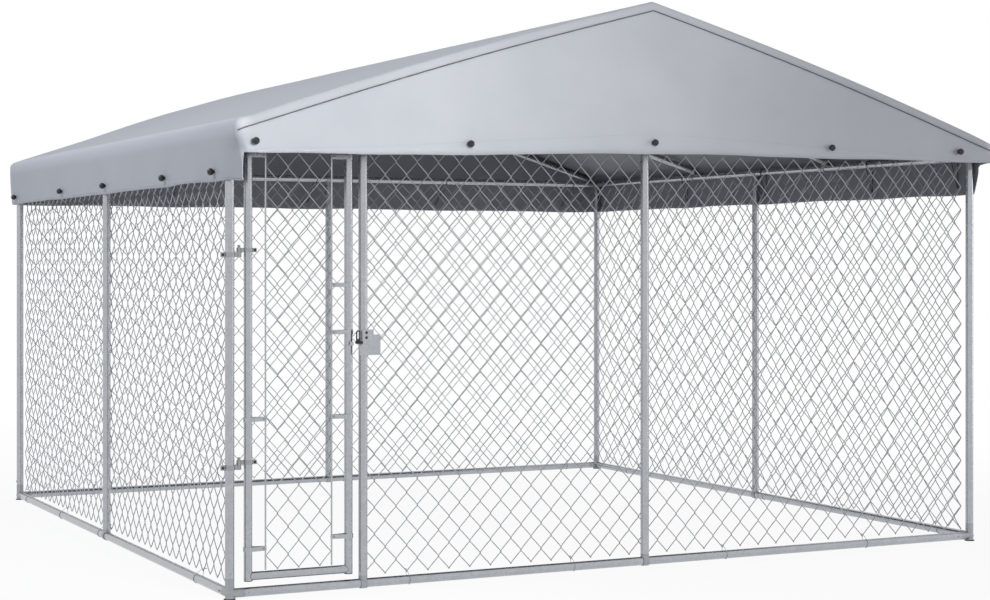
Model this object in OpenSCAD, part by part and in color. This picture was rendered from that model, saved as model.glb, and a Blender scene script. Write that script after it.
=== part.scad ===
// Outdoor dog kennel run: a square run of galvanised tube with wire net walls, a door at the left of
// the front wall and a gabled cloth cover held down by ball bungees. Millimetres, +Z up, the front
// wall faces -Y, and the origin is on the ground below the middle of the run.

/* [Run] */
// Distance between the corner post axes along the front
run_w = 3800; // [3000:10:4400]
// Distance between the corner post axes from front to back
run_d = 3800; // [3000:10:4400]
// Height of the top rails' axes above the ground
rail_top_z = 1885; // [1700:5:2200]
// How far the front mid post stands right of the middle
front_mid_x = 50; // [-100:5:300]

/* [Tubes and fittings] */
// Outside diameter of the posts, rails, rafters and ridge pole
tube_d = 38; // [32:0.5:44]
// Wall of the frame's tubes
tube_wall = 1.5; // [1:0.1:2.5]
// Length of a corner fitting's stub from its knuckle to the end of the tube
stub_rise = 40.5; // [32:0.5:70]
// Length of an eye fitting's neck from the eye to the end of the tube
neck_rise = 11; // [8:0.5:40]
// Length of the spigots that go inside the tubes
spigot_l = 45; // [25:1:80]
// Wall of the spigots
spigot_wall = 2; // [1.5:0.1:3]
// Swell of the round knuckle at a fitting's centre past the tube's surface
knuckle_swell = 2; // [1:0.5:3]
// Wall of the eye fittings round the rails
eye_wall = 3; // [2:0.5:5]
// Width of the eye fittings along the rail
eye_w = 30; // [24:1:34]
// Thickness of the feet
foot_h = 4; // [3:1:12]
// How far the feet stand out past the base corners' knuckles
foot_lip = 3.5; // [2:0.5:20]

/* [Roof frame] */
// Height of the ridge pole's axis above the ground
ridge_z = 2500; // [2250:5:2800]
// How far the roof frame reaches past the front and back walls
reach = 140; // [100:5:200]
// Height of the rafters' feet above the top rails' surface
rafter_step = 20.5; // [14:0.5:40]
// Number of bays between the rafter pairs
rafter_bays = 3; // [2:1:4]

/* [Cover] */
// Thickness of the cover's cloth with its coating
cloth_t = 2.5; // [1.5:0.5:4]
// Gap from the frame's largest fittings to the roof sheet
roof_gap = 0.4; // [0.2:0.1:0.8]
// Gap from the side rails' surface to the side flaps
flap_gap = 6.5; // [6:0.5:20]
// Inside radius of the fold at the eaves
eave_r = 30; // [15:1:60]
// Height of the side flaps' and the back panel's hems above the ground
flap_hem_z = 1718; // [1600:1:1760]
// Height of the front gable panel's hem above the ground
gable_hem_z = 1860; // [1856:1:1900]
// How far the front hem dips over the door
door_dip = 44; // [0:1:60]
// Diameter of the bungee balls
ball_d = 30; // [24:1:40]
// Side of the elastic cord's section
cord_d = 4; // [3:0.5:5]
// Bore of the eyelets
eyelet_bore = 10; // [9:0.5:14]
// Width of the eyelets' rims
eyelet_rim = 5; // [3:0.5:8]
// Thickness of the eyelets' rims
eyelet_t = 1.2; // [0.8:0.1:2]
// Height of the eyelets above the side flaps' and the back panel's hems
flap_eyelet_h = 26; // [20:1:60]
// Height of the eyelets above the front gable's hem
gable_eyelet_h = 42; // [30:1:48]
// Distances of the front eyelets from the left corner post's axis
front_eyelets_left = [50, 1000];
// Distances of the front eyelets from the right corner post's axis
front_eyelets_right = [200, 950];
// Distances of the side eyelets from the back corner posts' axes
side_eyelets_first = [30, 1115];
// Distances of the side eyelets from the front corner posts' axes
side_eyelets_last = [115, 815];
// Distances of the back eyelets from the right corner post's axis
back_eyelets_right = [180, 1100];
// Distances of the back eyelets from the left corner post's axis
back_eyelets_left = [180, 950];

/* [Net] */
// Width of the net's diamonds
net_pitch = 200; // [180:10:400]
// Width of the net's wires
wire_w = 4; // [2:0.5:6]
// Thickness of the net's wires
wire_t = 2; // [1.5:0.5:3]
// Gap between a post's inner face and the net
net_gap = 0.5; // [0.3:0.1:0.9]
// Gap between a rail and the tips of the net
net_drop = 10; // [8:1:20]
// Gap between a corner post and the end of a net
net_side = 14.5; // [13:0.5:40]
// How far the front net starts right of the jamb's axis
jamb_lap = 10; // [10:1:15]
// Thickness of the tie wires
tie_d = 2.2; // [1.5:0.1:3]
// Number of diamonds from one tie wire to the next
tie_step = 4; // [3:1:6]
// Slack of a tie wire behind the net
tie_slack = 2.2; // [2:0.1:3]

/* [Door] */
// Distance from the left corner post's axis to the jamb's axis
door_bay = 583; // [520:1:900]
// Outside diameter of the door's tubes
door_tube_d = 35; // [28:0.5:38]
// Wall of the door's tubes
door_wall = 1.5; // [1:0.1:2.5]
// Height of the door's bottom rail axis above the ground
door_low_z = 90; // [80:1:150]
// Length of the stiles below the bottom rail's axis
stile_tail = 20; // [18:1:40]
// Gap between the door's top and the top rail
door_head_gap = 6; // [5:1:40]
// Gap between the latch stile and the jamb
latch_gap = 29; // [26:0.5:34]
// Thickness of the plugs' flanges at the stiles' ends
plug_t = 3; // [2:0.5:5]
// Depth of the plugs inside the stiles
plug_l = 20; // [10:1:30]
// Distance from a stile's axis to its tension bar's axis
bar_inset = 75; // [60:1:90]
// Width of the tension bars
bar_w = 6; // [5:0.5:14]
// Thickness of the tension bars
bar_t = 4; // [3:0.5:5]
// Gap between the ends of the tension bars and the door's rails
bar_end_gap = 4; // [2:0.5:20]
// Thickness of the tension bands
band_t = 2.2; // [1.5:0.1:3]
// Height of the tension bands
band_h = 18; // [12:1:24]
// Diameter of the bolts through the tension bands
band_bolt_d = 5; // [4:0.5:6]
// Heights of the tension bands on the hinge side
hinge_band_z = [200, 730, 1811];
// Heights of the tension bands on the latch side
latch_band_z = [229, 729, 1081, 1278, 1811];

/* [Hinges] */
// Height of the lower hinge's bearing face
hinge_low_z = 547; // [300:1:650]
// Height of the upper hinge's bearing face
hinge_top_z = 1413; // [1200:1:1500]
// Distance from the corner post's surface to the hinge axis
post_to_pin = 20; // [18.5:0.5:32]
// Distance from the hinge axis to the hinge stile's surface
pin_to_stile = 21.5; // [20:0.5:34]
// Diameter of the hinge pins
pin_d = 12; // [10:0.5:14]
// Radial clearance of the hinge pins
pin_fit = 0.05; // [0.01:0.01:0.1]
// Height of the hinge straps on the post
pintle_h = 20; // [14:1:30]
// Height of the hinge straps on the door
hinge_eye_h = 18; // [14:1:30]
// Thickness of the hinge straps
strap_t = 3; // [2:0.5:4]
// Length of the straps' clamp ears
ear_l = 18; // [16:1:24]
// Gap between the two clamp ears
ear_gap = 5; // [3:0.5:8]
// Diameter of the clamp bolts
clamp_bolt_d = 6; // [5:0.5:8]

/* [Latch] */
// Height of the slide bolt's axis above the ground
latch_z = 1037; // [900:1:1100]
// Diameter of the slide bolt
bolt_d = 12; // [10:0.5:14]
// How far the slide bolt is thrown
bolt_throw = 26; // [20:1:28]
// Distance from the jamb's axis to the withdrawn bolt's nose
bolt_nose = 44; // [43:0.5:45]
// Distance from the jamb's axis to the bolt's tail
bolt_tail = 50; // [46:1:60]
// Radial clearance of the slide bolt in its guides
bolt_fit = 0.3; // [0.3:0.05:0.6]
// Clearance of the slide bolt in its keeper
keeper_fit = 1.5; // [1:0.1:2]
// Thickness of the latch plate
plate_t = 2.5; // [2:0.5:4]
// How far the latch plate goes left of the jamb's axis
plate_left = 16; // [14:1:18]
// How far the latch plate goes right of the jamb's axis
plate_right = 63; // [54:1:70]
// Height of the latch plate
plate_h = 107; // [100:1:120]
// Height of the latch plate below the slide bolt's axis
plate_below = 53; // [40:1:60]
// Depth of the latch plate's rim, which is folded towards the run
plate_rim = 12; // [6:1:16]
// Width of the padlock loop on the slide bolt
loop_w = 19; // [16:1:20]
// Height of the padlock loop above the slide bolt's axis
loop_h = 50; // [40:1:55]
// Thickness of the padlock loop
loop_t = 5; // [4:0.5:6]
// Diameter of the latch plate's fixing bolts
fix_bolt_d = 6; // [5:0.5:8]
// Height of the lower fixing bolt above the slide bolt's axis
fix_rise = 20; // [19:0.5:21]
// Distance between the two fixing bolts
fix_pitch = 21; // [20:0.5:23]

/* [Fits] */
// Clearance between a tube and the fitting inside or round it
tube_fit = 0.3; // [0.1:0.05:0.5]
// Clearance between pieces that rest on each other
seat = 0.3; // [0.1:0.05:0.5]
// Clearance between a bolt and its hole
hole_fit = 0.3; // [0.2:0.05:0.5]

/* [Hidden] */
$fn = 48;

steel = "#aeb4b8";
steel_dark = "#8e9498";
cloth = "#b4bbc6";
black = "#20222c";

// Tubes and fittings
tube_r = tube_d / 2;
spigot_d = tube_d - 2 * tube_wall - 2 * tube_fit;
spigot_bore = spigot_d - 2 * spigot_wall;
knuckle_d = tube_d + 2 * knuckle_swell;
eye_r = tube_r + tube_fit + eye_wall;
stub_l = knuckle_d / 2 + stub_rise;
neck_l = eye_r + neck_rise;
foot_d = knuckle_d + 2 * foot_lip;
rail_low_z = foot_h + eye_r;
over = 1;

// Plan
half_w = run_w / 2;
half_d = run_d / 2;
jamb_x = -half_w + door_bay;
// Each wall: turn about the middle of the run, distance from the middle, length
walls = [[0, half_d, run_w], [90, half_w, run_d], [180, half_d, run_w], [270, half_w, run_d]];

// Roof frame
roof_y = half_d + reach;
rafter_rise = tube_r + rafter_step;
rafter_z = rail_top_z + rafter_rise;
pitch_a = atan2(ridge_z - rafter_z, half_w);
rafter_l = norm([half_w, ridge_z - rafter_z]);
bay_l = 2 * roof_y / rafter_bays;
middle_y = [for (i = [1 : rafter_bays - 1]) -roof_y + i * bay_l];

// Cover
roof_in = eye_r + roof_gap;
flap_in = tube_r + flap_gap;
ball_gap = eyelet_t + seat;
fold_steps = 6;
// Where the middle eyelets of the side and back walls stand, clear of the post behind them
post_clear = 80;

// Net
net_z0 = rail_low_z + tube_r + net_drop;
net_h = rail_top_z - tube_r - net_drop - net_z0;
net_layer = wire_t + seat;
net_end = tube_r + net_side;
front_net_w = half_w - net_end - jamb_x - jamb_lap;
front_net_x = jamb_x + jamb_lap + front_net_w / 2;
// Each wall's net: its width, its middle, and the places along the rails that fittings take up
nets = [
    [front_net_w, front_net_x, [jamb_x, front_mid_x]],
    [run_d - 2 * net_end, 0, concat([0], middle_y)],
    [run_w - 2 * net_end, 0, [0]],
    [run_d - 2 * net_end, 0, concat([0], middle_y)]
];

// Door
door_r = door_tube_d / 2;
hinge_post = tube_r + post_to_pin;
hinge_stile = door_r + pin_to_stile;
hinge_x = -half_w + hinge_post;
hinge_stile_x = hinge_x + hinge_stile;
latch_stile_x = jamb_x - tube_r - latch_gap - door_r;
door_top_z = rail_top_z - tube_r - door_head_gap - door_r;
stile_z0 = door_low_z - stile_tail;
stile_z1 = door_top_z + door_r - plug_t;
door_net_x0 = hinge_stile_x + bar_inset + bar_w / 2 + seat;
door_net_x1 = latch_stile_x - bar_inset - bar_w / 2 - seat;
bar_z0 = door_low_z + door_r + bar_end_gap;
bar_z1 = door_top_z - door_r - bar_end_gap;

// Latch, measured from the jamb's axis: the slide bolt runs between the jamb and the plate
guide_w = 9;
guide_wall = 3;
guide_r = bolt_d / 2 + bolt_fit + guide_wall;
bolt_y = -tube_r - seat - guide_r;
plate_y = bolt_y - guide_r;
// The thrown bolt still reaches through the guide on its tail side
guide_x = [-plate_left + guide_w / 2, bolt_tail - bolt_throw - guide_w];
loop_x = -bolt_nose + 2 + loop_w / 2;
fix_z = [latch_z + fix_rise, latch_z + fix_rise + fix_pitch];
saddle_w = 2 * fix_bolt_d;
keeper_w = 16;
keeper_wall = 4;

// Points on an arc round c, from angle a0 to angle a1
function arc(c, r, a0, a1, n) =
    [for (i = [0 : n]) let (a = a0 + (a1 - a0) * i / n) c + r * [cos(a), sin(a)]];

// Outline of a band pulled tight round a circle of radius r1 at the origin and one of radius r2 at p.
// The straight steps round the large circle touch it from outside.
function band_line(r1, r2, p, n1, n2) =
    let (a = atan2(p[1], p[0]), f = acos((r1 - r2) / norm(p)), r_out = r1 / cos((180 - f) / n1))
    concat(arc([0, 0], r_out, a + f, a + 360 - f, n1), arc(p, r2, a - f, a + f, n2));

// A closed band of thickness t and width w round the same two circles, lying in the XY plane
module band(r1, r2, p, t, w, n1 = 9, n2 = 3)
    difference() {
        translate([0, 0, -w / 2]) linear_extrude(w) polygon(band_line(r1 + t, r2 + t, p, n1, n2));
        translate([0, 0, -w / 2 - over]) linear_extrude(w + 2 * over) polygon(band_line(r1, r2, p, n1, n2));
    }

module on_wall(i) rotate([0, 0, walls[i][0]]) translate([0, -walls[i][1], 0]) children();

module tube(l, d = tube_d, wall = tube_wall)
    difference() {
        cylinder(h = l, d = d);
        translate([0, 0, -over]) cylinder(h = l + 2 * over, d = d - 2 * wall);
    }

module tube_x(x0, x1, d = tube_d, wall = tube_wall)
    translate([x0, 0, 0]) rotate([0, 90, 0]) tube(x1 - x0, d, wall);

// A stub with its spigot, and the blind hole along both
module stub(l) {
    cylinder(h = l, d = tube_d);
    cylinder(h = l + spigot_l, d = spigot_d);
}

module stub_hole(l)
    translate([0, 0, knuckle_d / 2]) cylinder(h = l + spigot_l + over - knuckle_d / 2, d = spigot_bore);

// Corner fittings, with +X and +Y pointing along the two walls
module base_corner()
    difference() {
        union() {
            sphere(d = knuckle_d);
            stub(stub_l);
            rotate([0, 90, 0]) stub(stub_l);
            rotate([-90, 0, 0]) stub(stub_l);
            translate([0, 0, foot_h + seat - rail_low_z])
                cylinder(h = rail_low_z - foot_h - seat, d = tube_d);
        }
        stub_hole(stub_l);
        rotate([0, 90, 0]) stub_hole(stub_l);
        rotate([-90, 0, 0]) stub_hole(stub_l);
    }

module top_corner()
    difference() {
        union() {
            sphere(d = knuckle_d);
            rotate([180, 0, 0]) stub(stub_l);
            rotate([0, 90, 0]) stub(stub_l);
            rotate([-90, 0, 0]) stub(stub_l);
            rotate([90, 0, 0]) cylinder(h = reach, d = tube_d);
            translate([0, -reach, 0]) sphere(d = knuckle_d);
            translate([0, -reach, 0]) cylinder(h = rafter_rise, d = tube_d);
            translate([0, -reach, rafter_rise]) sphere(d = knuckle_d);
            translate([0, -reach, rafter_rise]) rotate([0, 90 - pitch_a, 0]) stub(stub_l);
        }
        rotate([180, 0, 0]) stub_hole(stub_l);
        rotate([0, 90, 0]) stub_hole(stub_l);
        rotate([-90, 0, 0]) stub_hole(stub_l);
        translate([0, -reach, rafter_rise]) rotate([0, 90 - pitch_a, 0]) stub_hole(stub_l);
    }

// Each corner of the run, with its two walls along +X and +Y
module at_corners(z)
    for (sx = [0, 1], sy = [0, 1])
        mirror([sx, 0, 0]) mirror([0, sy, 0]) translate([-half_w, -half_d, z]) children();

// An eye round a rail that lies along X, with the parts of its neck as children
module rail_eye()
    difference() {
        union() {
            rotate([0, 90, 0]) cylinder(h = eye_w, r = eye_r, center = true);
            children();
        }
        rotate([0, 90, 0]) cylinder(h = 2 * stub_l, r = tube_r + tube_fit, center = true);
    }

module post_eye()
    difference() {
        rail_eye() stub(neck_l);
        stub_hole(neck_l);
    }

// Where the mid posts and the jamb stand: wall, place along it
module at_posts() {
    on_wall(0) translate([front_mid_x, 0, 0]) children();
    on_wall(0) translate([jamb_x, 0, 0]) children();
    for (i = [1 : 3]) on_wall(i) children();
}

module corner_post(sx, sy)
    color(steel) translate([sx * half_w, sy * half_d, rail_low_z + stub_l])
        tube(rail_top_z - rail_low_z - 2 * stub_l);

module mid_post()
    color(steel) translate([0, 0, rail_low_z + neck_l]) tube(rail_top_z - rail_low_z - 2 * neck_l);

module corner_post_fl() corner_post(-1, -1);
module corner_post_fr() corner_post(1, -1);
module corner_post_bl() corner_post(-1, 1);
module corner_post_br() corner_post(1, 1);

module front_mid_post() on_wall(0) translate([front_mid_x, 0, 0]) mid_post();
module right_mid_post() on_wall(1) mid_post();
module back_mid_post() on_wall(2) mid_post();
module left_mid_post() on_wall(3) mid_post();

module door_jamb_post()
    color(steel) translate([jamb_x, -half_d, 0]) difference() {
        mid_post();
        for (z = fix_z) translate([0, 0, z]) rotate([90, 0, 0])
            cylinder(h = 2 * tube_d, d = fix_bolt_d + 2 * hole_fit, center = true);
    }

module base_corners() color(steel_dark) at_corners(rail_low_z) base_corner();
module top_corners() color(steel_dark) at_corners(rail_top_z) top_corner();
module feet() color(black) at_corners(0) cylinder(h = foot_h, d = foot_d);

module wall_rail(i, z) color(steel) on_wall(i) translate([0, 0, z])
    tube_x(-walls[i][2] / 2 + stub_l, walls[i][2] / 2 - stub_l);

module bottom_rail_front() wall_rail(0, rail_low_z);
module bottom_rail_right() wall_rail(1, rail_low_z);
module bottom_rail_back() wall_rail(2, rail_low_z);
module bottom_rail_left() wall_rail(3, rail_low_z);
module top_rail_front() wall_rail(0, rail_top_z);
module top_rail_right() wall_rail(1, rail_top_z);
module top_rail_back() wall_rail(2, rail_top_z);
module top_rail_left() wall_rail(3, rail_top_z);

module post_eyes_low() color(steel_dark) at_posts() translate([0, 0, rail_low_z]) post_eye();
module post_eyes_top()
    color(steel_dark) at_posts() translate([0, 0, rail_top_z]) rotate([180, 0, 0]) post_eye();

// The rafters' feet stand on the side rails, which lie along Y
module rafter_eye()
    difference() {
        rotate([0, 0, 90]) rail_eye() rotate([0, 0, -90]) {
            cylinder(h = rafter_rise, d = tube_d);
            translate([0, 0, rafter_rise]) sphere(d = knuckle_d);
            translate([0, 0, rafter_rise]) rotate([0, 90 - pitch_a, 0]) stub(stub_l);
        }
        translate([0, 0, rafter_rise]) rotate([0, 90 - pitch_a, 0]) stub_hole(stub_l);
    }

module rafter_eyes()
    color(steel_dark) for (s = [0, 1], y = middle_y)
        mirror([s, 0, 0]) translate([-half_w, y, rail_top_z]) rafter_eye();

module ridge_eye()
    difference() {
        rotate([0, 0, 90]) rail_eye() rotate([0, 0, -90]) for (s = [-1, 1])
            rotate([0, s * (90 + pitch_a), 0]) stub(stub_l);
        for (s = [-1, 1]) rotate([0, s * (90 + pitch_a), 0]) stub_hole(stub_l);
    }

module ridge_eyes() color(steel_dark) for (y = middle_y) translate([0, y, ridge_z]) ridge_eye();

module ridge_end()
    difference() {
        union() {
            rotate([-90, 0, 0]) sphere(d = knuckle_d);
            rotate([-90, 0, 0]) stub(stub_l);
            for (s = [-1, 1]) rotate([0, s * (90 + pitch_a), 0]) stub(stub_l);
        }
        rotate([-90, 0, 0]) stub_hole(stub_l);
        for (s = [-1, 1]) rotate([0, s * (90 + pitch_a), 0]) stub_hole(stub_l);
    }

module ridge_ends()
    color(steel_dark) for (s = [0, 1]) mirror([0, s, 0]) translate([0, -roof_y, ridge_z]) ridge_end();

module ridge_pole()
    color(steel) translate([0, stub_l - roof_y, ridge_z]) rotate([-90, 0, 0]) tube(2 * roof_y - 2 * stub_l);

module rafter_pair(y)
    color(steel) for (s = [0, 1]) mirror([s, 0, 0]) translate([-half_w, y, rafter_z])
        rotate([0, 90 - pitch_a, 0]) translate([0, 0, stub_l]) tube(rafter_l - 2 * stub_l);

module rafter_pair_front() rafter_pair(-roof_y);
module rafter_pair_back() rafter_pair(roof_y);
module rafter_pairs_middle() for (y = middle_y) rafter_pair(y);

// Net: two layers of straight wires that cross, from tip to tip
module wire_layer(cols, rows, p, q)
    for (k = [1 - rows : cols - 1]) {
        u0 = max(0, -k);
        u1 = min(rows, cols - k);
        translate([(k + u0) * p, 0, u0 * q]) rotate([0, -atan2(q, p), 0])
            translate([0, 0, -wire_w / 2]) cube([(u1 - u0) * norm([p, q]), wire_t, wire_w]);
    }

module net(w, h) {
    cols = max(1, round(w / net_pitch));
    rows = max(1, round(h / net_pitch));
    translate([-w / 2, 0, 0]) wire_layer(cols, rows, w / cols, h / rows);
    translate([w / 2, net_layer, 0]) mirror([1, 0, 0]) wire_layer(cols, rows, w / cols, h / rows);
}

module wall_net(i)
    color(steel_dark) on_wall(i) translate([nets[i][1], tube_r + net_gap, net_z0]) net(nets[i][0], net_h);

module net_front() wall_net(0);
module net_right() wall_net(1);
module net_back() wall_net(2);
module net_left() wall_net(3);

// Tie wires go round a rail and over a tip of the net
tie_in = (net_layer + wire_t) / 2 + tie_slack;
tie_y = tube_r + net_gap + (net_layer + wire_t) / 2;
tie_up = tube_r + net_drop + 2 * wire_w;
module tie() rotate([90, 0, 90]) band(tube_r + tube_fit, tie_in, [tie_y, tie_up], tie_d, tie_d);

function clear_of(x, places) = min([for (b = places) abs(x - b)]) > (tube_d + eye_w) / 2;

module tie_wires()
    color(steel_dark) for (i = [0 : 3]) {
        cols = round(nets[i][0] / net_pitch);
        for (k = [1 : tie_step : cols - 1]) {
            x = nets[i][1] - nets[i][0] / 2 + k * nets[i][0] / cols;
            if (clear_of(x, nets[i][2])) on_wall(i) translate([x, 0, 0]) {
                translate([0, 0, rail_low_z]) tie();
                translate([0, 0, rail_top_z]) mirror([0, 0, 1]) tie();
            }
        }
    }

// Half of the cover's section at distance o outside its inner face: hem, fold at the eave, ridge
function eave_c() =
    let (x = -half_w - flap_in + eave_r)
    [x, rafter_z + (x + half_w) * tan(pitch_a) + (roof_in - eave_r) / cos(pitch_a)];
function half_section(o) = concat(
    [[-half_w - flap_in - o, flap_hem_z]],
    arc(eave_c(), eave_r + o, 180, 90 + pitch_a, fold_steps),
    arc([0, ridge_z], roof_in + o, 90 + pitch_a, 90, fold_steps / 2)
);
function flipped(p) = [for (i = [len(p) - 1 : -1 : 0]) [-p[i][0], p[i][1]]];
function backwards(p) = [for (i = [len(p) - 1 : -1 : 0]) p[i]];
function section(o) = concat(half_section(o), flipped(half_section(o)));

// The gables stand outside the end rafters
gable_y = roof_y + roof_in;
cover_y = gable_y + cloth_t;

// Eyelet places: along each wall, distance from the wall's axis, height above the ground.
// The right wall mirrors the left one.
function row(h, first, last, middle) = concat([for (d = first) d - h], [middle], [for (d = last) h - d]);
eyelet_rows = [
    row(half_w, front_eyelets_left, front_eyelets_right, 0),
    [for (x = row(half_d, side_eyelets_first, side_eyelets_last, post_clear)) -x],
    row(half_w, back_eyelets_right, back_eyelets_left, post_clear),
    row(half_d, side_eyelets_first, side_eyelets_last, post_clear)
];
// The front hem is lowest over the door and level again from the mid post
function hem_z(i, x) = i == 0
    ? gable_hem_z - door_dip * min(1, max(0, (front_mid_x - x) / (front_mid_x - jamb_x)))
    : flap_hem_z;
function eyelet_out(i) = i % 2 == 0 ? gable_y - half_d : flap_in;
function eyelet_z(i, x) = hem_z(i, x) + (i == 0 ? gable_eyelet_h : flap_eyelet_h);

// Each eyelet of a wall, at the cloth's outer face, with +Z pointing out
module at_eyelets(i)
    on_wall(i) for (x = eyelet_rows[i])
        translate([x, -eyelet_out(i) - cloth_t, eyelet_z(i, x)]) rotate([90, 0, 0]) children();

module eyelet_hole() cylinder(h = 4 * cloth_t, d = eyelet_bore + 2 * eyelet_t + 2 * seat, center = true);

module cover_roof()
    color(cloth) difference() {
        translate([0, cover_y, 0]) rotate([90, 0, 0]) linear_extrude(2 * cover_y)
            polygon(concat(section(cloth_t), backwards(section(0))));
        at_eyelets(1) eyelet_hole();
        at_eyelets(3) eyelet_hole();
    }

module gable(i)
    color(cloth) difference() {
        on_wall(i) translate([0, -gable_y + walls[i][1], 0]) rotate([90, 0, 0]) linear_extrude(cloth_t)
            polygon(concat(
                [for (x = i == 0 ? [front_mid_x, jamb_x, -half_w - flap_in + seat] : [-half_w - flap_in + seat])
                    [x, hem_z(i, x)]],
                arc(eave_c(), eave_r - seat, 180, 90 + pitch_a, fold_steps),
                arc([0, ridge_z], roof_in - seat, 90 + pitch_a, 90 - pitch_a, fold_steps),
                flipped(arc(eave_c(), eave_r - seat, 180, 90 + pitch_a, fold_steps)),
                [[half_w + flap_in - seat, hem_z(i, half_w)]]
            ));
        at_eyelets(i) eyelet_hole();
    }

module cover_front_gable() gable(0);
module cover_back_gable() gable(2);

module eyelet()
    rotate_extrude() polygon([
        [eyelet_bore / 2, -cloth_t],
        [eyelet_bore / 2 + eyelet_t, -cloth_t],
        [eyelet_bore / 2 + eyelet_t, seat],
        [eyelet_bore / 2 + eyelet_rim, seat],
        [eyelet_bore / 2 + eyelet_rim, seat + eyelet_t],
        [eyelet_bore / 2, seat + eyelet_t]
    ]);

module cover_eyelets() color(steel) for (i = [0 : 3]) at_eyelets(i) eyelet();

// The ball sits on the eyelet's rim, with a blind hole for the cord
ball_sink = sqrt(pow(ball_d / 2, 2) - pow(eyelet_bore / 2, 2));
ball_up = ball_gap + seat + ball_sink;
cord_hole = 1.5 * cord_d;

module bungee_balls()
    color(black) for (i = [0 : 3]) at_eyelets(i) difference() {
        translate([0, 0, ball_up]) sphere(d = ball_d);
        cylinder(h = ball_up, d = cord_hole);
    }

// The elastic goes from the ball through the eyelet, then up round the top rail and back
cord_back = flap_gap;
module bungee_loop(i, x) {
    out = eyelet_out(i);
    tip = [out - cord_back - seat, eyelet_z(i, x) - rail_top_z];
    rotate([90, 0, 270]) {
        band(tube_r + tube_fit, seat, tip, cord_d, cord_d);
        translate([tip[0], tip[1] - cord_d / 2, -cord_d / 2])
            cube([out + cloth_t + ball_up - seat - tip[0], cord_d, cord_d]);
    }
}

module bungee_loops()
    color(black) for (i = [0 : 3]) on_wall(i) for (x = eyelet_rows[i])
        translate([x, 0, rail_top_z]) bungee_loop(i, x);

// Hinge strap round a tube of radius r: ring, lug to the hinge axis along +X, clamp ears along -X
module strap(r, h, lug, boss_d)
    difference() {
        union() {
            cylinder(h = h, r = r + tube_fit + strap_t);
            translate([0, -boss_d / 3, 0]) cube([lug, 2 * boss_d / 3, h]);
            translate([lug, 0, 0]) cylinder(h = h, d = boss_d);
            translate([-r - ear_l, -ear_gap / 2 - strap_t, 0]) cube([r + ear_l, ear_gap + 2 * strap_t, h]);
        }
        translate([0, 0, -over]) cylinder(h = h + 2 * over, r = r + tube_fit);
        translate([-r - ear_l - over, -ear_gap / 2, -over]) cube([r + ear_l + over, ear_gap, h + 2 * over]);
        translate([-clamp_x(r), 0, h / 2]) rotate([90, 0, 0])
            cylinder(h = 4 * tube_d, d = clamp_bolt_d + 2 * hole_fit, center = true);
    }

pin_boss = pin_d + 8;
function clamp_x(r) = r + (strap_t + ear_l) / 2 + 1;

module pintle(z)
    color(steel_dark) translate([-half_w, -half_d, z - pintle_h]) {
        strap(tube_r, pintle_h, hinge_post, pin_boss);
        translate([hinge_post, 0, 0]) cylinder(h = pintle_h + hinge_eye_h + pin_d, d = pin_d);
    }

module hinge_pintle_upper() pintle(hinge_top_z);
module hinge_pintle_lower() pintle(hinge_low_z);

module hinge_eye(z)
    color(steel_dark) translate([hinge_stile_x, -half_d, z + seat]) rotate([0, 0, 180]) difference() {
        strap(door_r, hinge_eye_h, hinge_stile, pin_boss);
        translate([hinge_stile, 0, -over]) cylinder(h = hinge_eye_h + 2 * over, d = pin_d + 2 * pin_fit);
    }

module hinge_eye_upper() hinge_eye(hinge_top_z);
module hinge_eye_lower() hinge_eye(hinge_low_z);

// Bolt along -Y with a domed head at the front and a hexagon nut behind the grip
head_h = 0.6;
module bolt(d, grip) {
    rotate([90, 0, 0]) {
        translate([0, 0, -grip / 2 - d - 1]) cylinder(h = grip + d + 1 + seat, d = d);
        translate([0, 0, grip / 2 + seat]) intersection() {
            cylinder(h = head_h * d, d = 2 * d);
            translate([0, 0, -d * 0.65]) sphere(r = 1.25 * d);
        }
        translate([0, 0, -grip / 2 - seat - 0.8 * d]) difference() {
            cylinder(h = 0.8 * d, d = 1.9 * d, $fn = 6);
            translate([0, 0, -over]) cylinder(h = d + 2 * over, d = d + 2 * seat);
        }
    }
}

module clamp_bolt() bolt(clamp_bolt_d, ear_gap + 2 * strap_t);

module pintle_clamp_bolts()
    color(black) for (z = [hinge_low_z, hinge_top_z])
        translate([-half_w - clamp_x(tube_r), -half_d, z - pintle_h / 2]) clamp_bolt();

module hinge_eye_clamp_bolts()
    color(black) for (z = [hinge_low_z, hinge_top_z])
        translate([hinge_stile_x + clamp_x(door_r), -half_d, z + seat + hinge_eye_h / 2]) clamp_bolt();

// Door frame
module stile(x)
    color(steel) translate([x, -half_d, stile_z0 + plug_t])
        tube(stile_z1 - stile_z0 - plug_t, door_tube_d, door_wall);

module door_hinge_stile() stile(hinge_stile_x);
module door_latch_stile() stile(latch_stile_x);

module door_rail(z)
    color(steel) translate([0, -half_d, z]) difference() {
        tube_x(hinge_stile_x, latch_stile_x, door_tube_d, door_wall);
        for (x = [hinge_stile_x, latch_stile_x])
            translate([x, 0, -door_tube_d]) cylinder(h = 2 * door_tube_d, r = door_r + seat);
    }

module door_top_rail() door_rail(door_top_z);
module door_bottom_rail() door_rail(door_low_z);

module stile_plug() {
    cylinder(h = plug_t - seat, d = door_tube_d);
    cylinder(h = plug_t + plug_l, d = door_tube_d - 2 * door_wall - 2 * tube_fit);
}

module door_stile_plugs()
    color(black) for (x = [hinge_stile_x, latch_stile_x]) translate([x, -half_d, 0]) {
        translate([0, 0, stile_z0]) stile_plug();
        translate([0, 0, stile_z1 + plug_t]) rotate([180, 0, 0]) stile_plug();
    }

module door_net()
    color(steel_dark) translate([(door_net_x0 + door_net_x1) / 2, -half_d - (net_layer + wire_t) / 2, bar_z0])
        net(door_net_x1 - door_net_x0, bar_z1 - bar_z0);

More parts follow.
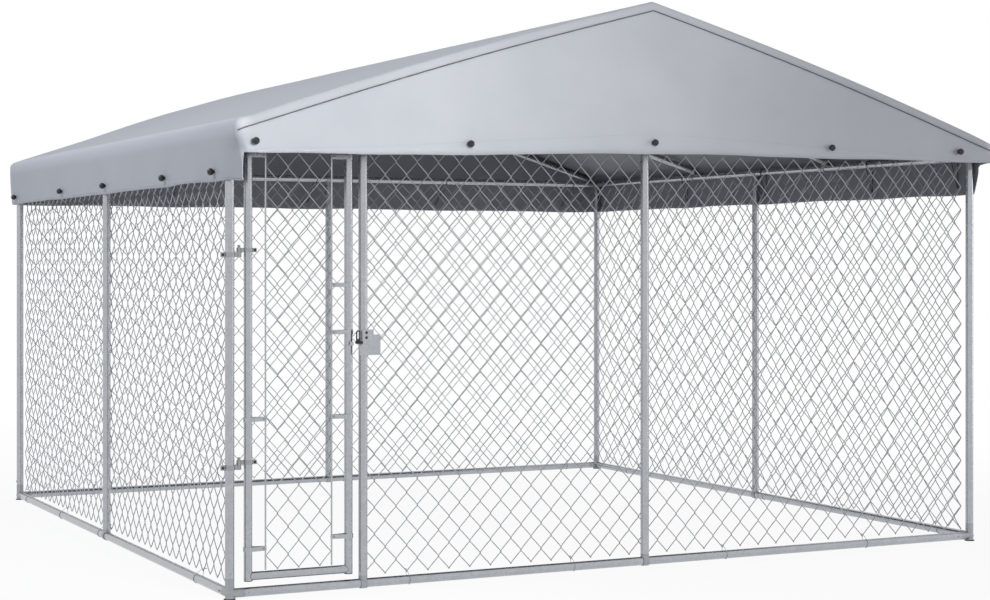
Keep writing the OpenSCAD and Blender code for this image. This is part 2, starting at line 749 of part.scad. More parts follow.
module door_tension_bars()
    color(steel_dark) for (x = [hinge_stile_x + bar_inset, latch_stile_x - bar_inset])
        translate([x - bar_w / 2, -half_d - bar_t / 2, bar_z0]) cube([bar_w, bar_t, bar_z1 - bar_z0]);

// A band goes round the stile, and its two legs close on the bar's faces
leg_end = bar_inset + bar_w / 2;
leg_a = asin((door_r + tube_fit - bar_t / 2 - seat) / leg_end);
band_bolt_x = bar_inset - bar_w / 2 - band_bolt_d;
band_grip = 2 * ((door_r + tube_fit + band_t) / cos(leg_a) - (band_bolt_x - band_bolt_d) * tan(leg_a));

module tension_band()
    difference() {
        band(door_r + tube_fit, bar_t / 2 + seat, [leg_end, 0], band_t, band_h);
        translate([leg_end, -tube_d, -band_h]) cube([tube_d, 2 * tube_d, 2 * band_h]);
        translate([band_bolt_x, 0, 0]) rotate([90, 0, 0])
            cylinder(h = 2 * tube_d, d = band_bolt_d + 2 * hole_fit, center = true);
    }

// Each tension band of the door, with +X pointing from its stile to its bar
module at_bands() {
    for (z = hinge_band_z) translate([hinge_stile_x, -half_d, z]) children();
    for (z = latch_band_z) translate([latch_stile_x, -half_d, z]) mirror([1, 0, 0]) children();
}

module door_tension_bands() color(steel) at_bands() tension_band();
module door_band_bolts()
    color(steel_dark) at_bands() translate([band_bolt_x, 0, 0]) bolt(band_bolt_d, band_grip);

// Latch plate: stepped sheet with a folded rim and a tab at its lower left. Two guides for the bolt and two
// saddles that fit the jamb stand on its back.
plate_step_h = 21;
plate_step_x = 32;
tab_w = 14;
module latch_plate()
    color(steel) translate([jamb_x, -half_d, latch_z]) difference() {
        union() {
            translate([0, plate_y, 0]) rotate([90, 0, 0]) linear_extrude(plate_t) polygon([
                [-plate_left - tab_w, -plate_below],
                [plate_right, -plate_below],
                [plate_right, plate_h - plate_below - plate_step_h],
                [plate_step_x, plate_h - plate_below - plate_step_h],
                [plate_step_x, plate_h - plate_below],
                [-plate_left, plate_h - plate_below],
                [-plate_left, -bolt_d],
                [-plate_left - tab_w, -bolt_d]
            ]);
            translate([plate_right - plate_t, plate_y - plate_t, -plate_below])
                cube([plate_t, plate_t + plate_rim, plate_h - plate_step_h]);
            for (x = guide_x) translate([x - guide_w / 2, bolt_y, 0]) guide();
            for (z = fix_z) translate([-saddle_w / 2, plate_y, z - latch_z - saddle_w / 2])
                cube([saddle_w, -plate_y - tube_r / 2, saddle_w]);
        }
        translate([-2 * plate_right, bolt_y, 0]) rotate([0, 90, 0])
            cylinder(h = 4 * plate_right, d = bolt_d + 2 * bolt_fit);
        translate([0, 0, -plate_h]) cylinder(h = 2 * plate_h, r = tube_r + seat);
        for (z = fix_z) translate([0, 0, z - latch_z]) rotate([90, 0, 0])
            cylinder(h = -2 * plate_y, d = fix_bolt_d + 2 * hole_fit);
    }

module guide() {
    rotate([0, 90, 0]) cylinder(h = guide_w, r = guide_r);
    translate([0, -guide_r, -guide_r]) cube([guide_w, guide_r, 2 * guide_r]);
}

fix_grip = tube_r - plate_y + plate_t;
module latch_fixing_bolts()
    color(steel_dark) for (z = fix_z)
        translate([jamb_x, -half_d + tube_r - fix_grip / 2, z]) bolt(fix_bolt_d, fix_grip);

// The padlock loop's slot, above the bolt
slot_z = 15;
module slide_bolt()
    color(black) translate([jamb_x, -half_d + bolt_y, latch_z]) {
        translate([-bolt_nose, 0, 0]) rotate([0, 90, 0]) cylinder(h = bolt_nose + bolt_tail, d = bolt_d);
        translate([loop_x, loop_t / 2, 0]) rotate([90, 0, 0]) difference() {
            union() {
                translate([-loop_w / 2, 0, 0]) cube([loop_w, loop_h - loop_w / 2, loop_t]);
                translate([0, loop_h - loop_w / 2, 0]) cylinder(h = loop_t, d = loop_w);
            }
            translate([-loop_w / 4, slot_z, -over])
                cube([loop_w / 2, loop_h - loop_w / 2 - slot_z, loop_t + 2 * over]);
            translate([0, loop_h - loop_w / 2, -over]) cylinder(h = loop_t + 2 * over, d = loop_w / 2);
        }
    }

// Keeper: a hook on the front of the latch stile, open at the top, that the bolt's nose slides into
module latch_keeper()
    color(steel_dark) translate([latch_stile_x, -half_d, latch_z]) difference() {
        translate([-keeper_w / 2, bolt_y - bolt_d / 2 - keeper_fit - keeper_wall, -bolt_d])
            cube([keeper_w, keeper_wall + keeper_fit + bolt_d / 2 - bolt_y, bolt_d + bolt_d / 3]);
        translate([0, 0, -2 * bolt_d]) cylinder(h = 4 * bolt_d, r = door_r + seat);
        translate([-keeper_w, bolt_y - bolt_d / 2 - keeper_fit, -bolt_d / 2 - keeper_fit])
            cube([2 * keeper_w, keeper_fit + bolt_d / 2 - bolt_y, 2 * bolt_d]);
    }

corner_post_fl();
corner_post_fr();
corner_post_bl();
corner_post_br();
front_mid_post();
left_mid_post();
right_mid_post();
back_mid_post();
door_jamb_post();
base_corners();
top_corners();
feet();
bottom_rail_front();
bottom_rail_back();
bottom_rail_left();
bottom_rail_right();
top_rail_front();
top_rail_back();
top_rail_left();
top_rail_right();
post_eyes_low();
post_eyes_top();
rafter_eyes();
ridge_eyes();
ridge_ends();
ridge_pole();
rafter_pair_front();
rafter_pairs_middle();
rafter_pair_back();
net_front();
net_left();
net_right();
net_back();
tie_wires();
cover_roof();
cover_front_gable();
cover_back_gable();
cover_eyelets();
bungee_balls();
bungee_loops();
hinge_pintle_upper();
hinge_pintle_lower();
pintle_clamp_bolts();
latch_plate();
latch_fixing_bolts();
door_hinge_stile();
door_latch_stile();
door_top_rail();
door_bottom_rail();
door_stile_plugs();
door_net();
door_tension_bars();
door_tension_bands();
door_band_bolts();
hinge_eye_upper();
hinge_eye_lower();
hinge_eye_clamp_bolts();
latch_keeper();
slide_bolt();
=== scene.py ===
import math

import bpy
import numpy as np
from mathutils import Matrix, Vector, noise


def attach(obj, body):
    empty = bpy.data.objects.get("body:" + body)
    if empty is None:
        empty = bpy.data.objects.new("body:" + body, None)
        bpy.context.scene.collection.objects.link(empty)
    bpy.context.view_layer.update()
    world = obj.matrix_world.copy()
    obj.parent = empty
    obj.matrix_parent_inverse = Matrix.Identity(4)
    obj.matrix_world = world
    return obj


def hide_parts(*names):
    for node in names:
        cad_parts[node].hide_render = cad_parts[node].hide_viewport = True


# Outdoor dog kennel run: a square run of galvanised tube with chain-link walls, a door at the left of the
# front and a gabled cloth cover. Metres, +Z up, the front wall faces -Y, the origin is on the ground.
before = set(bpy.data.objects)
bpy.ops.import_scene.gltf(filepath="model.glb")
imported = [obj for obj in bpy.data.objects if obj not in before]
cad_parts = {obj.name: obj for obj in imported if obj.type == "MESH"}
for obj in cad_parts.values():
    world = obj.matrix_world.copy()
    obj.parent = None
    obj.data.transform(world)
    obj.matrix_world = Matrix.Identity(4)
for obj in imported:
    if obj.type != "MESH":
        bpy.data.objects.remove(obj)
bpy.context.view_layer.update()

# Camera: level, at eye height ahead of the front left corner, with a long lens. The walls' uprights stay
# upright, and the shift sets the frame as the photograph has it.
camera = bpy.data.objects.new("camera", bpy.data.cameras.new("camera"))
bpy.context.scene.collection.objects.link(camera)
camera.location = (-4.4692, -9.6396, 1.3784)
camera.rotation_euler = (math.radians(90), 0, -0.4676)
camera.data.sensor_width = 36
camera.data.lens = 72.153
camera.data.shift_x = -0.02894
camera.data.shift_y = -0.03962
bpy.context.scene.camera = camera
bpy.context.scene.view_settings.view_transform = "Standard"


# Studio: a pale floor and a white room. A soft lamp at the front lights the left of the gable most, a far one
# fills its right end, one high on the left lights the slope and the flap, and a dim tall panel at the right
# draws the stripe on the tubes. A last one lights the sides that the photo does not show.
def linear(colour):
    channels = [int(colour[i:i + 2], 16) / 255 for i in (1, 3, 5)]
    return [c / 12.92 if c <= 0.04045 else ((c + 0.055) / 1.055) ** 2.4 for c in channels] + [1]


def feed(tree, node, inputs):
    for key, value in inputs.items():
        if isinstance(value, bpy.types.NodeSocket):
            tree.links.new(value, node.inputs[key])
        else:
            node.inputs[key].default_value = value


def add(tree, kind, inputs={}, **settings):
    node = tree.nodes.new(kind)
    for key, value in settings.items():
        setattr(node, key, value)
    feed(tree, node, inputs)
    return node


room = bpy.data.worlds.new("white_room")
bpy.context.scene.world = room
room.use_nodes = True
tree = room.node_tree
tree.nodes.clear()
ray = add(tree, "ShaderNodeLightPath")
direct = add(tree, "ShaderNodeMath", {0: ray.outputs["Is Camera Ray"], 1: ray.outputs["Is Glossy Ray"]},
             operation="MAXIMUM")
seen = add(tree, "ShaderNodeMath", {0: direct.outputs[0], 1: ray.outputs["Is Transmission Ray"]},
           operation="MAXIMUM")
soft = add(tree, "ShaderNodeBackground", {"Color": linear("#f8f9fc"), "Strength": 0.232})
white = add(tree, "ShaderNodeBackground", {"Color": linear("#ffffff"), "Strength": 1.0})
both = add(tree, "ShaderNodeMixShader", {0: seen.outputs[0], 1: soft.outputs[0], 2: white.outputs[0]})
add(tree, "ShaderNodeOutputWorld", {"Surface": both.outputs[0]})

floor_half = 30.0
floor_mesh = bpy.data.meshes.new("floor")
floor_mesh.from_pydata([(-floor_half, -floor_half, 0), (floor_half, -floor_half, 0),
                        (floor_half, floor_half, 0), (-floor_half, floor_half, 0)], [], [(0, 1, 2, 3)])
floor = bpy.data.objects.new("floor", floor_mesh)
bpy.context.scene.collection.objects.link(floor)
floor_paint = bpy.data.materials.new("pale_floor_paint")
floor_paint.use_nodes = True
tree = floor_paint.node_tree
tree.nodes.clear()
ray = add(tree, "ShaderNodeLightPath")
direct = add(tree, "ShaderNodeMath", {0: ray.outputs["Is Camera Ray"], 1: ray.outputs["Is Glossy Ray"]},
             operation="MAXIMUM")
place = add(tree, "ShaderNodeTexCoord")
from_middle = add(tree, "ShaderNodeVectorMath", {0: place.outputs["Object"]}, operation="LENGTH")
# Near the run the floor keeps a light shadow, and further out it turns into the white of the room
share = add(tree, "ShaderNodeMapRange", {"Value": from_middle.outputs["Value"], "From Min": 3.0,
                                         "From Max": 8.0, "To Min": 0.92, "To Max": 1.0})
share = add(tree, "ShaderNodeMath", {0: share.outputs[0], 1: direct.outputs[0]}, operation="MULTIPLY")
matt = add(tree, "ShaderNodeBsdfDiffuse", {"Color": linear("#f4f4f4")})
glow = add(tree, "ShaderNodeEmission", {"Color": linear("#ffffff"), "Strength": 1.0})
both = add(tree, "ShaderNodeMixShader", {0: share.outputs[0], 1: matt.outputs[0], 2: glow.outputs[0]})
add(tree, "ShaderNodeOutputMaterial", {"Surface": both.outputs[0]})
floor_mesh.materials.append(floor_paint)

for lamp_name, spot, target, across, tall, watts, spread, colour in (
        ("front_lamp", (-1.1, -5.9, 2.7), (-2.6, -2.06, 2.1), 1.5, 1.5, 71, 120, "#fffdf9"),
        ("fill_lamp", (6.5, -7.0, 2.4), (0.5, -2.0, 2.0), 2.5, 2.5, 144, 180, "#fffdf9"),
        ("left_lamp", (-6.0, -0.5, 6.2), (-1.9, 0.0, 1.9), 2.5, 2.5, 172, 180, "#f1f6ff"),
        ("right_panel", (8.5, -5.0, 1.4), (0.0, -1.0, 1.2), 1.2, 4.5, 55, 180, "#ffffff"),
        ("back_lamp", (7.5, 6.0, 3.6), (0.5, 1.0, 2.0), 2.0, 2.0, 470, 180, "#fbfcff")):
    lamp = bpy.data.objects.new(lamp_name, bpy.data.lights.new(lamp_name, "AREA"))
    bpy.context.scene.collection.objects.link(lamp)
    lamp.data.shape = "RECTANGLE"
    lamp.data.size = across
    lamp.data.size_y = tall
    lamp.data.energy = watts
    lamp.data.spread = math.radians(spread)
    lamp.data.color = linear(colour)[:3]
    lamp.location = spot
    lamp.rotation_euler = (Vector(target) - Vector(spot)).to_track_quat("-Z", "Y").to_euler()
    # The lamps that face the gables do not show in the metal
    lamp.visible_glossy = lamp_name in ("left_lamp", "right_panel")


# Posts, rails, rafters and ridge pole: steel tube 38 mm across with a 1.5 mm wall, rolled, seam welded and
# dipped in zinc. The tubes slip over the spigots of the corner and eye fittings and are held by screws.
def finish_of(name):
    material = bpy.data.materials.new(name)
    material.use_nodes = True
    tree = material.node_tree
    return material, tree, tree.nodes["Principled BSDF"], add(tree, "ShaderNodeTexCoord")


# Zinc freezes into spangles about 12 mm across, each a little lighter or darker and more or less glossy
tube_zinc, tree, shader, place = finish_of("galvanised_steel_tube")
spangle = add(tree, "ShaderNodeTexVoronoi", {"Vector": place.outputs["Object"], "Scale": 1 / 0.012})
cloud = add(tree, "ShaderNodeTexNoise", {"Vector": place.outputs["Object"], "Scale": 1 / 0.09, "Detail": 4.0})
mixed = add(tree, "ShaderNodeMath", {0: spangle.outputs["Color"], 1: cloud.outputs["Fac"]},
            operation="MULTIPLY")
tone = add(tree, "ShaderNodeMix", {0: mixed.outputs[0], 6: linear("#a6a9ae"), 7: linear("#bec1c6")},
           data_type="RGBA")
gloss = add(tree, "ShaderNodeMapRange", {"Value": spangle.outputs["Color"], "To Min": 0.2, "To Max": 0.32})
grain = add(tree, "ShaderNodeTexNoise", {"Vector": place.outputs["Object"], "Scale": 1 / 0.002, "Detail": 2.0})
relief = add(tree, "ShaderNodeBump", {"Height": grain.outputs["Fac"], "Strength": 0.06, "Distance": 0.0004})
feed(tree, shader, {"Base Color": tone.outputs[2], "Roughness": gloss.outputs[0], "Normal": relief.outputs[0],
                    "Metallic": 1.0})


# A CAD node that keeps its shape gets its finish in place
def coat(finish, *names):
    for name in names:
        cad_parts[name].material_slots[0].material = finish


coat(tube_zinc, "corner_post_fl", "corner_post_fr", "corner_post_bl", "corner_post_br", "front_mid_post",
     "left_mid_post", "right_mid_post", "back_mid_post", "door_jamb_post", "bottom_rail_front",
     "bottom_rail_back", "bottom_rail_left", "bottom_rail_right", "top_rail_front", "top_rail_back",
     "top_rail_left", "top_rail_right", "ridge_pole", "rafter_pair_front", "rafter_pairs_middle",
     "rafter_pair_back")

half_run = 1.9
mid_post_x, jamb_x = 0.05, -1.317
rail_low, rail_top = 0.0263, 1.885
tube_r = 0.019


# Each wall's own frame: x along the wall, y into the run, z up
def wall_frame(turn):
    return Matrix.Rotation(math.radians(turn), 4, "Z") @ Matrix.Translation((0, -half_run, 0))


def new_tree(name, **inputs):
    tree = bpy.data.node_groups.new(name, "GeometryNodeTree")
    tree.interface.new_socket("Geometry", in_out="INPUT", socket_type="NodeSocketGeometry")
    for key, kind in inputs.items():
        tree.interface.new_socket(key, in_out="INPUT", socket_type="NodeSocket" + kind)
    tree.interface.new_socket("Geometry", in_out="OUTPUT", socket_type="NodeSocketGeometry")
    return tree, tree.nodes.new("NodeGroupInput").outputs


# Runs a tree on a mesh of points or paths and keeps the result as a plain mesh
def grow(name, tree, mesh, **sizes):
    piece = bpy.data.objects.new(name, mesh)
    bpy.context.scene.collection.objects.link(piece)
    modifier = piece.modifiers.new("grow", "NODES")
    modifier.node_group = tree
    sockets = {s.name: s.identifier for s in tree.interface.items_tree if s.in_out == "INPUT"}
    for key, value in sizes.items():
        modifier[sockets[key]] = value
    grown = bpy.data.meshes.new_from_object(piece.evaluated_get(bpy.context.evaluated_depsgraph_get()))
    piece.modifiers.clear()
    piece.data = grown
    grown.name = name
    return piece


# A tree ends in real copies in their finish
def close_tree(tree, shape, finish):
    real = add(tree, "GeometryNodeRealizeInstances", {0: shape})
    coated = add(tree, "GeometryNodeSetMaterial", {"Geometry": real.outputs[0], "Material": finish})
    add(tree, "NodeGroupOutput", {0: coated.outputs[0]})


# Points of a mesh carry the direction that each screw or ball faces
def points_facing(name, spots):
    mesh = bpy.data.meshes.new(name)
    mesh.from_pydata([tuple(p) for p, d in spots], [], [])
    facing = mesh.attributes.new("facing", "FLOAT_VECTOR", "POINT")
    facing.data.foreach_set("vector", np.array([tuple(d) for p, d in spots], dtype=float).ravel())
    return mesh


# Stands a copy of a shape on each point, with its Z along the point's direction
def stand(tree, points, shape):
    facing = add(tree, "GeometryNodeInputNamedAttribute", {"Name": "facing"}, data_type="FLOAT_VECTOR")
    turned = add(tree, "FunctionNodeAlignRotationToVector", {"Vector": facing.outputs[0]}, axis="Z")
    return add(tree, "GeometryNodeInstanceOnPoints", {"Points": points, "Instance": shape,
                                                      "Rotation": turned.outputs[0]})


screw_tree, put = new_tree("hex_screws", Head="Float", Height="Float", Washer="Float", Finish="Material")
# The lower half of each washer and head is inside the tube
low = add(screw_tree, "ShaderNodeMath", {0: put["Height"], 1: 0.35}, operation="MULTIPLY")
washer = add(screw_tree, "GeometryNodeMeshCylinder", {"Vertices": 14, "Radius": put["Washer"],
                                                      "Depth": low.outputs[0]})
tall = add(screw_tree, "ShaderNodeMath", {0: put["Height"], 1: 2.0}, operation="MULTIPLY")
head = add(screw_tree, "GeometryNodeMeshCylinder", {"Vertices": 6, "Radius": put["Head"],
                                                    "Depth": tall.outputs[0]})
both = add(screw_tree, "GeometryNodeJoinGeometry")
for part in (washer, head):
    screw_tree.links.new(part.outputs["Mesh"], both.inputs[0])
close_tree(screw_tree, stand(screw_tree, put["Geometry"], both.outputs[0]).outputs[0], put["Finish"])

# The tubes end this far from the middle of a corner or of an eye, and the screws are a little in from the end
stub, neck, screw_in = 0.0615, 0.0333, 0.018
rafter_z, ridge_z = 1.9245, 2.5
pitch = math.atan2(ridge_z - rafter_z, half_run)
roof_y = 2.04
rafter_y = (-roof_y, -roof_y / 3, roof_y / 3, roof_y)
screws = []
for turn, posts in ((0, (mid_post_x, jamb_x)), (90, (0,)), (180, (0,)), (270, (0,))):
    to_world = wall_frame(turn)
    out = to_world.to_3x3() @ Vector((0, -1, 0))
    for x in (stub + screw_in - half_run, half_run - stub - screw_in):
        for z in (rail_low, rail_top):
            screws.append((to_world @ Vector((x, -tube_r, z)), out))
    for x in posts:
        for z in (rail_low + neck + screw_in, rail_top - neck - screw_in):
            screws.append((to_world @ Vector((x, tube_r, z)), -out))
    for z in (rail_low + stub + screw_in, rail_top - stub - screw_in):
        screws.append((to_world @ Vector((-half_run, -tube_r, z)), out))
for y in rafter_y:
    for side in (-1, 1):
        down = Vector((side * math.sin(pitch), 0, math.cos(pitch))) * -1
        for along in (stub + screw_in, math.hypot(half_run, ridge_z - rafter_z) - stub - screw_in):
            axis = Vector((side * (half_run - along * math.cos(pitch)), y, rafter_z + along * math.sin(pitch)))
            screws.append((axis + down * tube_r, down))
tube_screws = grow("tube_screws", screw_tree, points_facing("tube_screws", screws), Head=0.0042, Height=0.0034,
                   Washer=0.0062, Finish=tube_zinc)
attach(tube_screws, "frame")

# Corner, eye and ridge fittings: cast from iron and dipped in zinc, so the skin is rougher and duller than
# the tubes' and has the sand's grain. Spigots go inside the tubes, and the eyes slide along the rails.
fitting_zinc, tree, shader, place = finish_of("galvanised_cast_iron")
cloud = add(tree, "ShaderNodeTexNoise", {"Vector": place.outputs["Object"], "Scale": 1 / 0.03, "Detail": 6.0})
tone = add(tree, "ShaderNodeMix", {0: cloud.outputs["Fac"], 6: linear("#8c9094"), 7: linear("#b0b3b7")},
           data_type="RGBA")
sand = add(tree, "ShaderNodeTexNoise", {"Vector": place.outputs["Object"], "Scale": 1 / 0.0016, "Detail": 3.0})
relief = add(tree, "ShaderNodeBump", {"Height": sand.outputs["Fac"], "Strength": 0.25, "Distance": 0.0005})
gloss = add(tree, "ShaderNodeMapRange", {"Value": cloud.outputs["Fac"], "To Min": 0.36, "To Max": 0.58})
feed(tree, shader, {"Base Color": tone.outputs[2], "Roughness": gloss.outputs[0], "Normal": relief.outputs[0],
                    "Metallic": 1.0})
coat(fitting_zinc, "base_corners", "top_corners", "post_eyes_low", "post_eyes_top", "rafter_eyes", "ridge_eyes",
     "ridge_ends")

# Feet: black polyethylene discs under the four base corners, moulded with a fine spark texture that leaves
# them satin, and a little dusty.
plastic, tree, shader, place = finish_of("moulded_polyethylene")
spark = add(tree, "ShaderNodeTexNoise", {"Vector": place.outputs["Object"], "Scale": 1 / 0.0009, "Detail": 2.0})
relief = add(tree, "ShaderNodeBump", {"Height": spark.outputs["Fac"], "Strength": 0.15, "Distance": 0.0002})
dust = add(tree, "ShaderNodeTexNoise", {"Vector": place.outputs["Object"], "Scale": 1 / 0.02})
tone = add(tree, "ShaderNodeMix", {0: dust.outputs["Fac"], 6: linear("#1a1b20"), 7: linear("#2b2d35")},
           data_type="RGBA")
feed(tree, shader, {"Base Color": tone.outputs[2], "Normal": relief.outputs[0], "Roughness": 0.42})
coat(plastic, "feet")

# Wall nets: chain link, woven from zinc coated wire bent into flat spirals that hook into each other. Each
# diamond is about 100 mm wide and 113 mm high. The nets hang inside the posts, clear of the rails.

# Drawn wire is smooth, and its thin zinc dulls to an even grey
wire_zinc, tree, shader, place = finish_of("galvanised_drawn_wire")
cloud = add(tree, "ShaderNodeTexNoise", {"Vector": place.outputs["Object"], "Scale": 1 / 0.05, "Detail": 3.0})
tone = add(tree, "ShaderNodeMix", {0: cloud.outputs["Fac"], 6: linear("#979aa0"), 7: linear("#b3b6bc")},
           data_type="RGBA")
gloss = add(tree, "ShaderNodeMapRange", {"Value": cloud.outputs["Fac"], "To Min": 0.38, "To Max": 0.55})
feed(tree, shader, {"Base Color": tone.outputs[2], "Roughness": gloss.outputs[0], "Metallic": 0.8})

net_tree, put = new_tree("chain_link", Width="Float", Height="Float", Columns="Int", Rows="Int", Wire="Float",
                         Depth="Float", Phase="Float", Finish="Material")
pitch_x = add(net_tree, "ShaderNodeMath", {0: put["Width"], 1: put["Columns"]}, operation="DIVIDE")
pitch_z = add(net_tree, "ShaderNodeMath", {0: put["Height"], 1: put["Rows"]}, operation="DIVIDE")
half_x = add(net_tree, "ShaderNodeMath", {0: pitch_x.outputs[0], 1: 0.5}, operation="MULTIPLY")
bit_z = add(net_tree, "ShaderNodeMath", {0: pitch_z.outputs[0], 1: 0.125}, operation="MULTIPLY")
wires = add(net_tree, "ShaderNodeMath", {0: put["Columns"], 1: 2.0}, operation="MULTIPLY")
bits = add(net_tree, "ShaderNodeMath", {0: put["Rows"], 1: 8.0, 2: 1.0}, operation="MULTIPLY_ADD")
step_x = add(net_tree, "ShaderNodeCombineXYZ", {"X": half_x.outputs[0]})
step_z = add(net_tree, "ShaderNodeCombineXYZ", {"Z": bit_z.outputs[0]})
row = add(net_tree, "GeometryNodeMeshLine", {"Count": wires.outputs[0], "Offset": step_x.outputs[0]},
          mode="OFFSET")
upright = add(net_tree, "GeometryNodeMeshLine", {"Count": bits.outputs[0], "Offset": step_z.outputs[0]},
              mode="OFFSET")
stood = add(net_tree, "GeometryNodeInstanceOnPoints", {"Points": row.outputs[0],
                                                       "Instance": upright.outputs[0]})
number = add(net_tree, "GeometryNodeInputIndex")
marked = add(net_tree, "GeometryNodeStoreNamedAttribute", {"Geometry": stood.outputs[0], "Name": "wire",
                                                           "Value": number.outputs[0]},
             data_type="INT", domain="INSTANCE")
loose = add(net_tree, "GeometryNodeRealizeInstances", {0: marked.outputs[0]})
which = add(net_tree, "GeometryNodeInputNamedAttribute", {"Name": "wire"}, data_type="INT")
odd = add(net_tree, "ShaderNodeMath", {0: which.outputs[0], 1: 2.0}, operation="MODULO")
spot = add(net_tree, "GeometryNodeInputPosition")
parts = add(net_tree, "ShaderNodeSeparateXYZ", {0: spot.outputs[0]})
turns = add(net_tree, "ShaderNodeMath", {0: parts.outputs["Z"], 1: pitch_z.outputs[0]}, operation="DIVIDE")
turns = add(net_tree, "ShaderNodeMath", {0: odd.outputs[0], 1: 0.5, 2: turns.outputs[0]},
            operation="MULTIPLY_ADD")
turns = add(net_tree, "ShaderNodeMath", {0: turns.outputs[0], 1: put["Phase"]}, operation="ADD")
swing = add(net_tree, "ShaderNodeMath", {0: turns.outputs[0], 1: 0.5}, operation="PINGPONG")
# Each spiral reaches one wire past its neighbour's, so that the two hook
reach = add(net_tree, "ShaderNodeMath", {0: put["Wire"], 1: 2.0, 2: pitch_x.outputs[0]},
            operation="MULTIPLY_ADD")
shift = add(net_tree, "ShaderNodeMath", {0: swing.outputs[0], 1: reach.outputs[0], 2: parts.outputs["X"]},
            operation="MULTIPLY_ADD")
back = add(net_tree, "ShaderNodeMath", {0: put["Wire"], 1: -0.5, 2: shift.outputs[0]}, operation="MULTIPLY_ADD")
angle = add(net_tree, "ShaderNodeMath", {0: turns.outputs[0], 1: 2 * math.pi}, operation="MULTIPLY")
wave = add(net_tree, "ShaderNodeMath", {0: angle.outputs[0]}, operation="SINE")
steep = add(net_tree, "ShaderNodeMath", {0: wave.outputs[0], 1: 3.0}, operation="MULTIPLY")
flat = add(net_tree, "ShaderNodeClamp", {"Value": steep.outputs[0], "Min": -1.0, "Max": 1.0})
depth = add(net_tree, "ShaderNodeMath", {0: flat.outputs[0], 1: put["Depth"]}, operation="MULTIPLY")
bent = add(net_tree, "ShaderNodeCombineXYZ", {"X": back.outputs[0], "Y": depth.outputs[0],
                                              "Z": parts.outputs["Z"]})
zigzag = add(net_tree, "GeometryNodeSetPosition", {"Geometry": loose.outputs[0], "Position": bent.outputs[0]})
centre = add(net_tree, "GeometryNodeMeshToCurve", {"Mesh": zigzag.outputs[0]})
radius = add(net_tree, "ShaderNodeMath", {0: put["Wire"], 1: 0.5}, operation="MULTIPLY")
ring = add(net_tree, "GeometryNodeCurvePrimitiveCircle", {"Resolution": 5, "Radius": radius.outputs[0]})
drawn = add(net_tree, "GeometryNodeCurveToMesh", {"Curve": centre.outputs[0], "Profile Curve": ring.outputs[0],
                                                  "Fill Caps": True})
smooth = add(net_tree, "GeometryNodeSetShadeSmooth", {"Geometry": drawn.outputs[0]})
close_tree(net_tree, smooth.outputs[0], put["Finish"])

wire = 0.0046
net_depth = 0.0024
net_low, net_high = 0.0553, 1.8560
net_rows = 16
net_gap = 0.0004
# From the wall's axis to the middle of the net, just inside the posts
net_in = tube_r + net_gap + net_depth + wire / 2
# Each wall's turn, where its net starts and ends, and how many diamonds are in a row
net_end, net_jamb = 1.8665, -1.307
wall_nets = {"net_front": (0, net_jamb, net_end, 32), "net_right": (90, -net_end, net_end, 38),
             "net_back": (180, -net_end, net_end, 38), "net_left": (270, -net_end, net_end, 38)}
for name, (turn, x0, x1, columns) in wall_nets.items():
    net = grow("chain_link_" + name[4:], net_tree, bpy.data.meshes.new(name), Width=x1 - x0 - wire,
               Height=net_high - net_low, Columns=columns, Rows=net_rows, Wire=wire, Depth=net_depth, Phase=0.0,
               Finish=wire_zinc)
    net.data.transform(wall_frame(turn) @ Matrix.Translation((x0 + wire / 2, net_in, net_low)))
    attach(net, "frame")
    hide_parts(name)

# Tie wires: soft zinc coated wire that goes round a rail and over a tip of the net, its ends twisted
# together inside the run.
wire_tree, put = new_tree("round_wire", Radius="Float", Bend="Float", Sides="Int", Finish="Material")
line = add(wire_tree, "GeometryNodeMeshToCurve", {"Mesh": put["Geometry"]})
round_bends = add(wire_tree, "GeometryNodeFilletCurve", {"Curve": line.outputs[0], "Count": 3,
                                                         "Radius": put["Bend"], "Limit Radius": True},
                  mode="POLY")
ring = add(wire_tree, "GeometryNodeCurvePrimitiveCircle", {"Resolution": put["Sides"], "Radius": put["Radius"]})
drawn = add(wire_tree, "GeometryNodeCurveToMesh", {"Curve": round_bends.outputs[0],
                                                   "Profile Curve": ring.outputs[0], "Fill Caps": True})
smooth = add(wire_tree, "GeometryNodeSetShadeSmooth", {"Geometry": drawn.outputs[0]})
close_tree(wire_tree, smooth.outputs[0], put["Finish"])


def paths(name, lines, closed=False):
    points, edges = [], []
    for line in lines:
        first = len(points)
        points += [tuple(p) for p in line]
        edges += [(i, i + 1) for i in range(first, len(points) - 1)]
        if closed:
            edges.append((len(points) - 1, first))
    mesh = bpy.data.meshes.new(name)
    mesh.from_pydata(points, edges, [])
    return mesh


# Loop pulled tight round a circle of radius r1 at the origin and one of radius r2 at (u, w)
def tight_loop(r1, r2, u, w, n1=14, n2=5):
    a, f = math.atan2(w, u), math.acos((r1 - r2) / math.hypot(u, w))
    big = [(r1 * math.cos(t), r1 * math.sin(t)) for t in np.linspace(a + f, a + 2 * math.pi - f, n1)]
    return big + [(u + r2 * math.cos(t), w + r2 * math.sin(t)) for t in np.linspace(a - f, a + f, n2)]


# A tie bends round the net's tip on a small radius, and its two ends are wound three times round each other
tie_r, tie_gap = 0.0011, 0.0003
tip_r, tip_up = 0.0042, 0.019
twist_r, half_twist, twist_up = 0.0011, 0.0018, 0.021
tie_loops, tie_tails = [], []
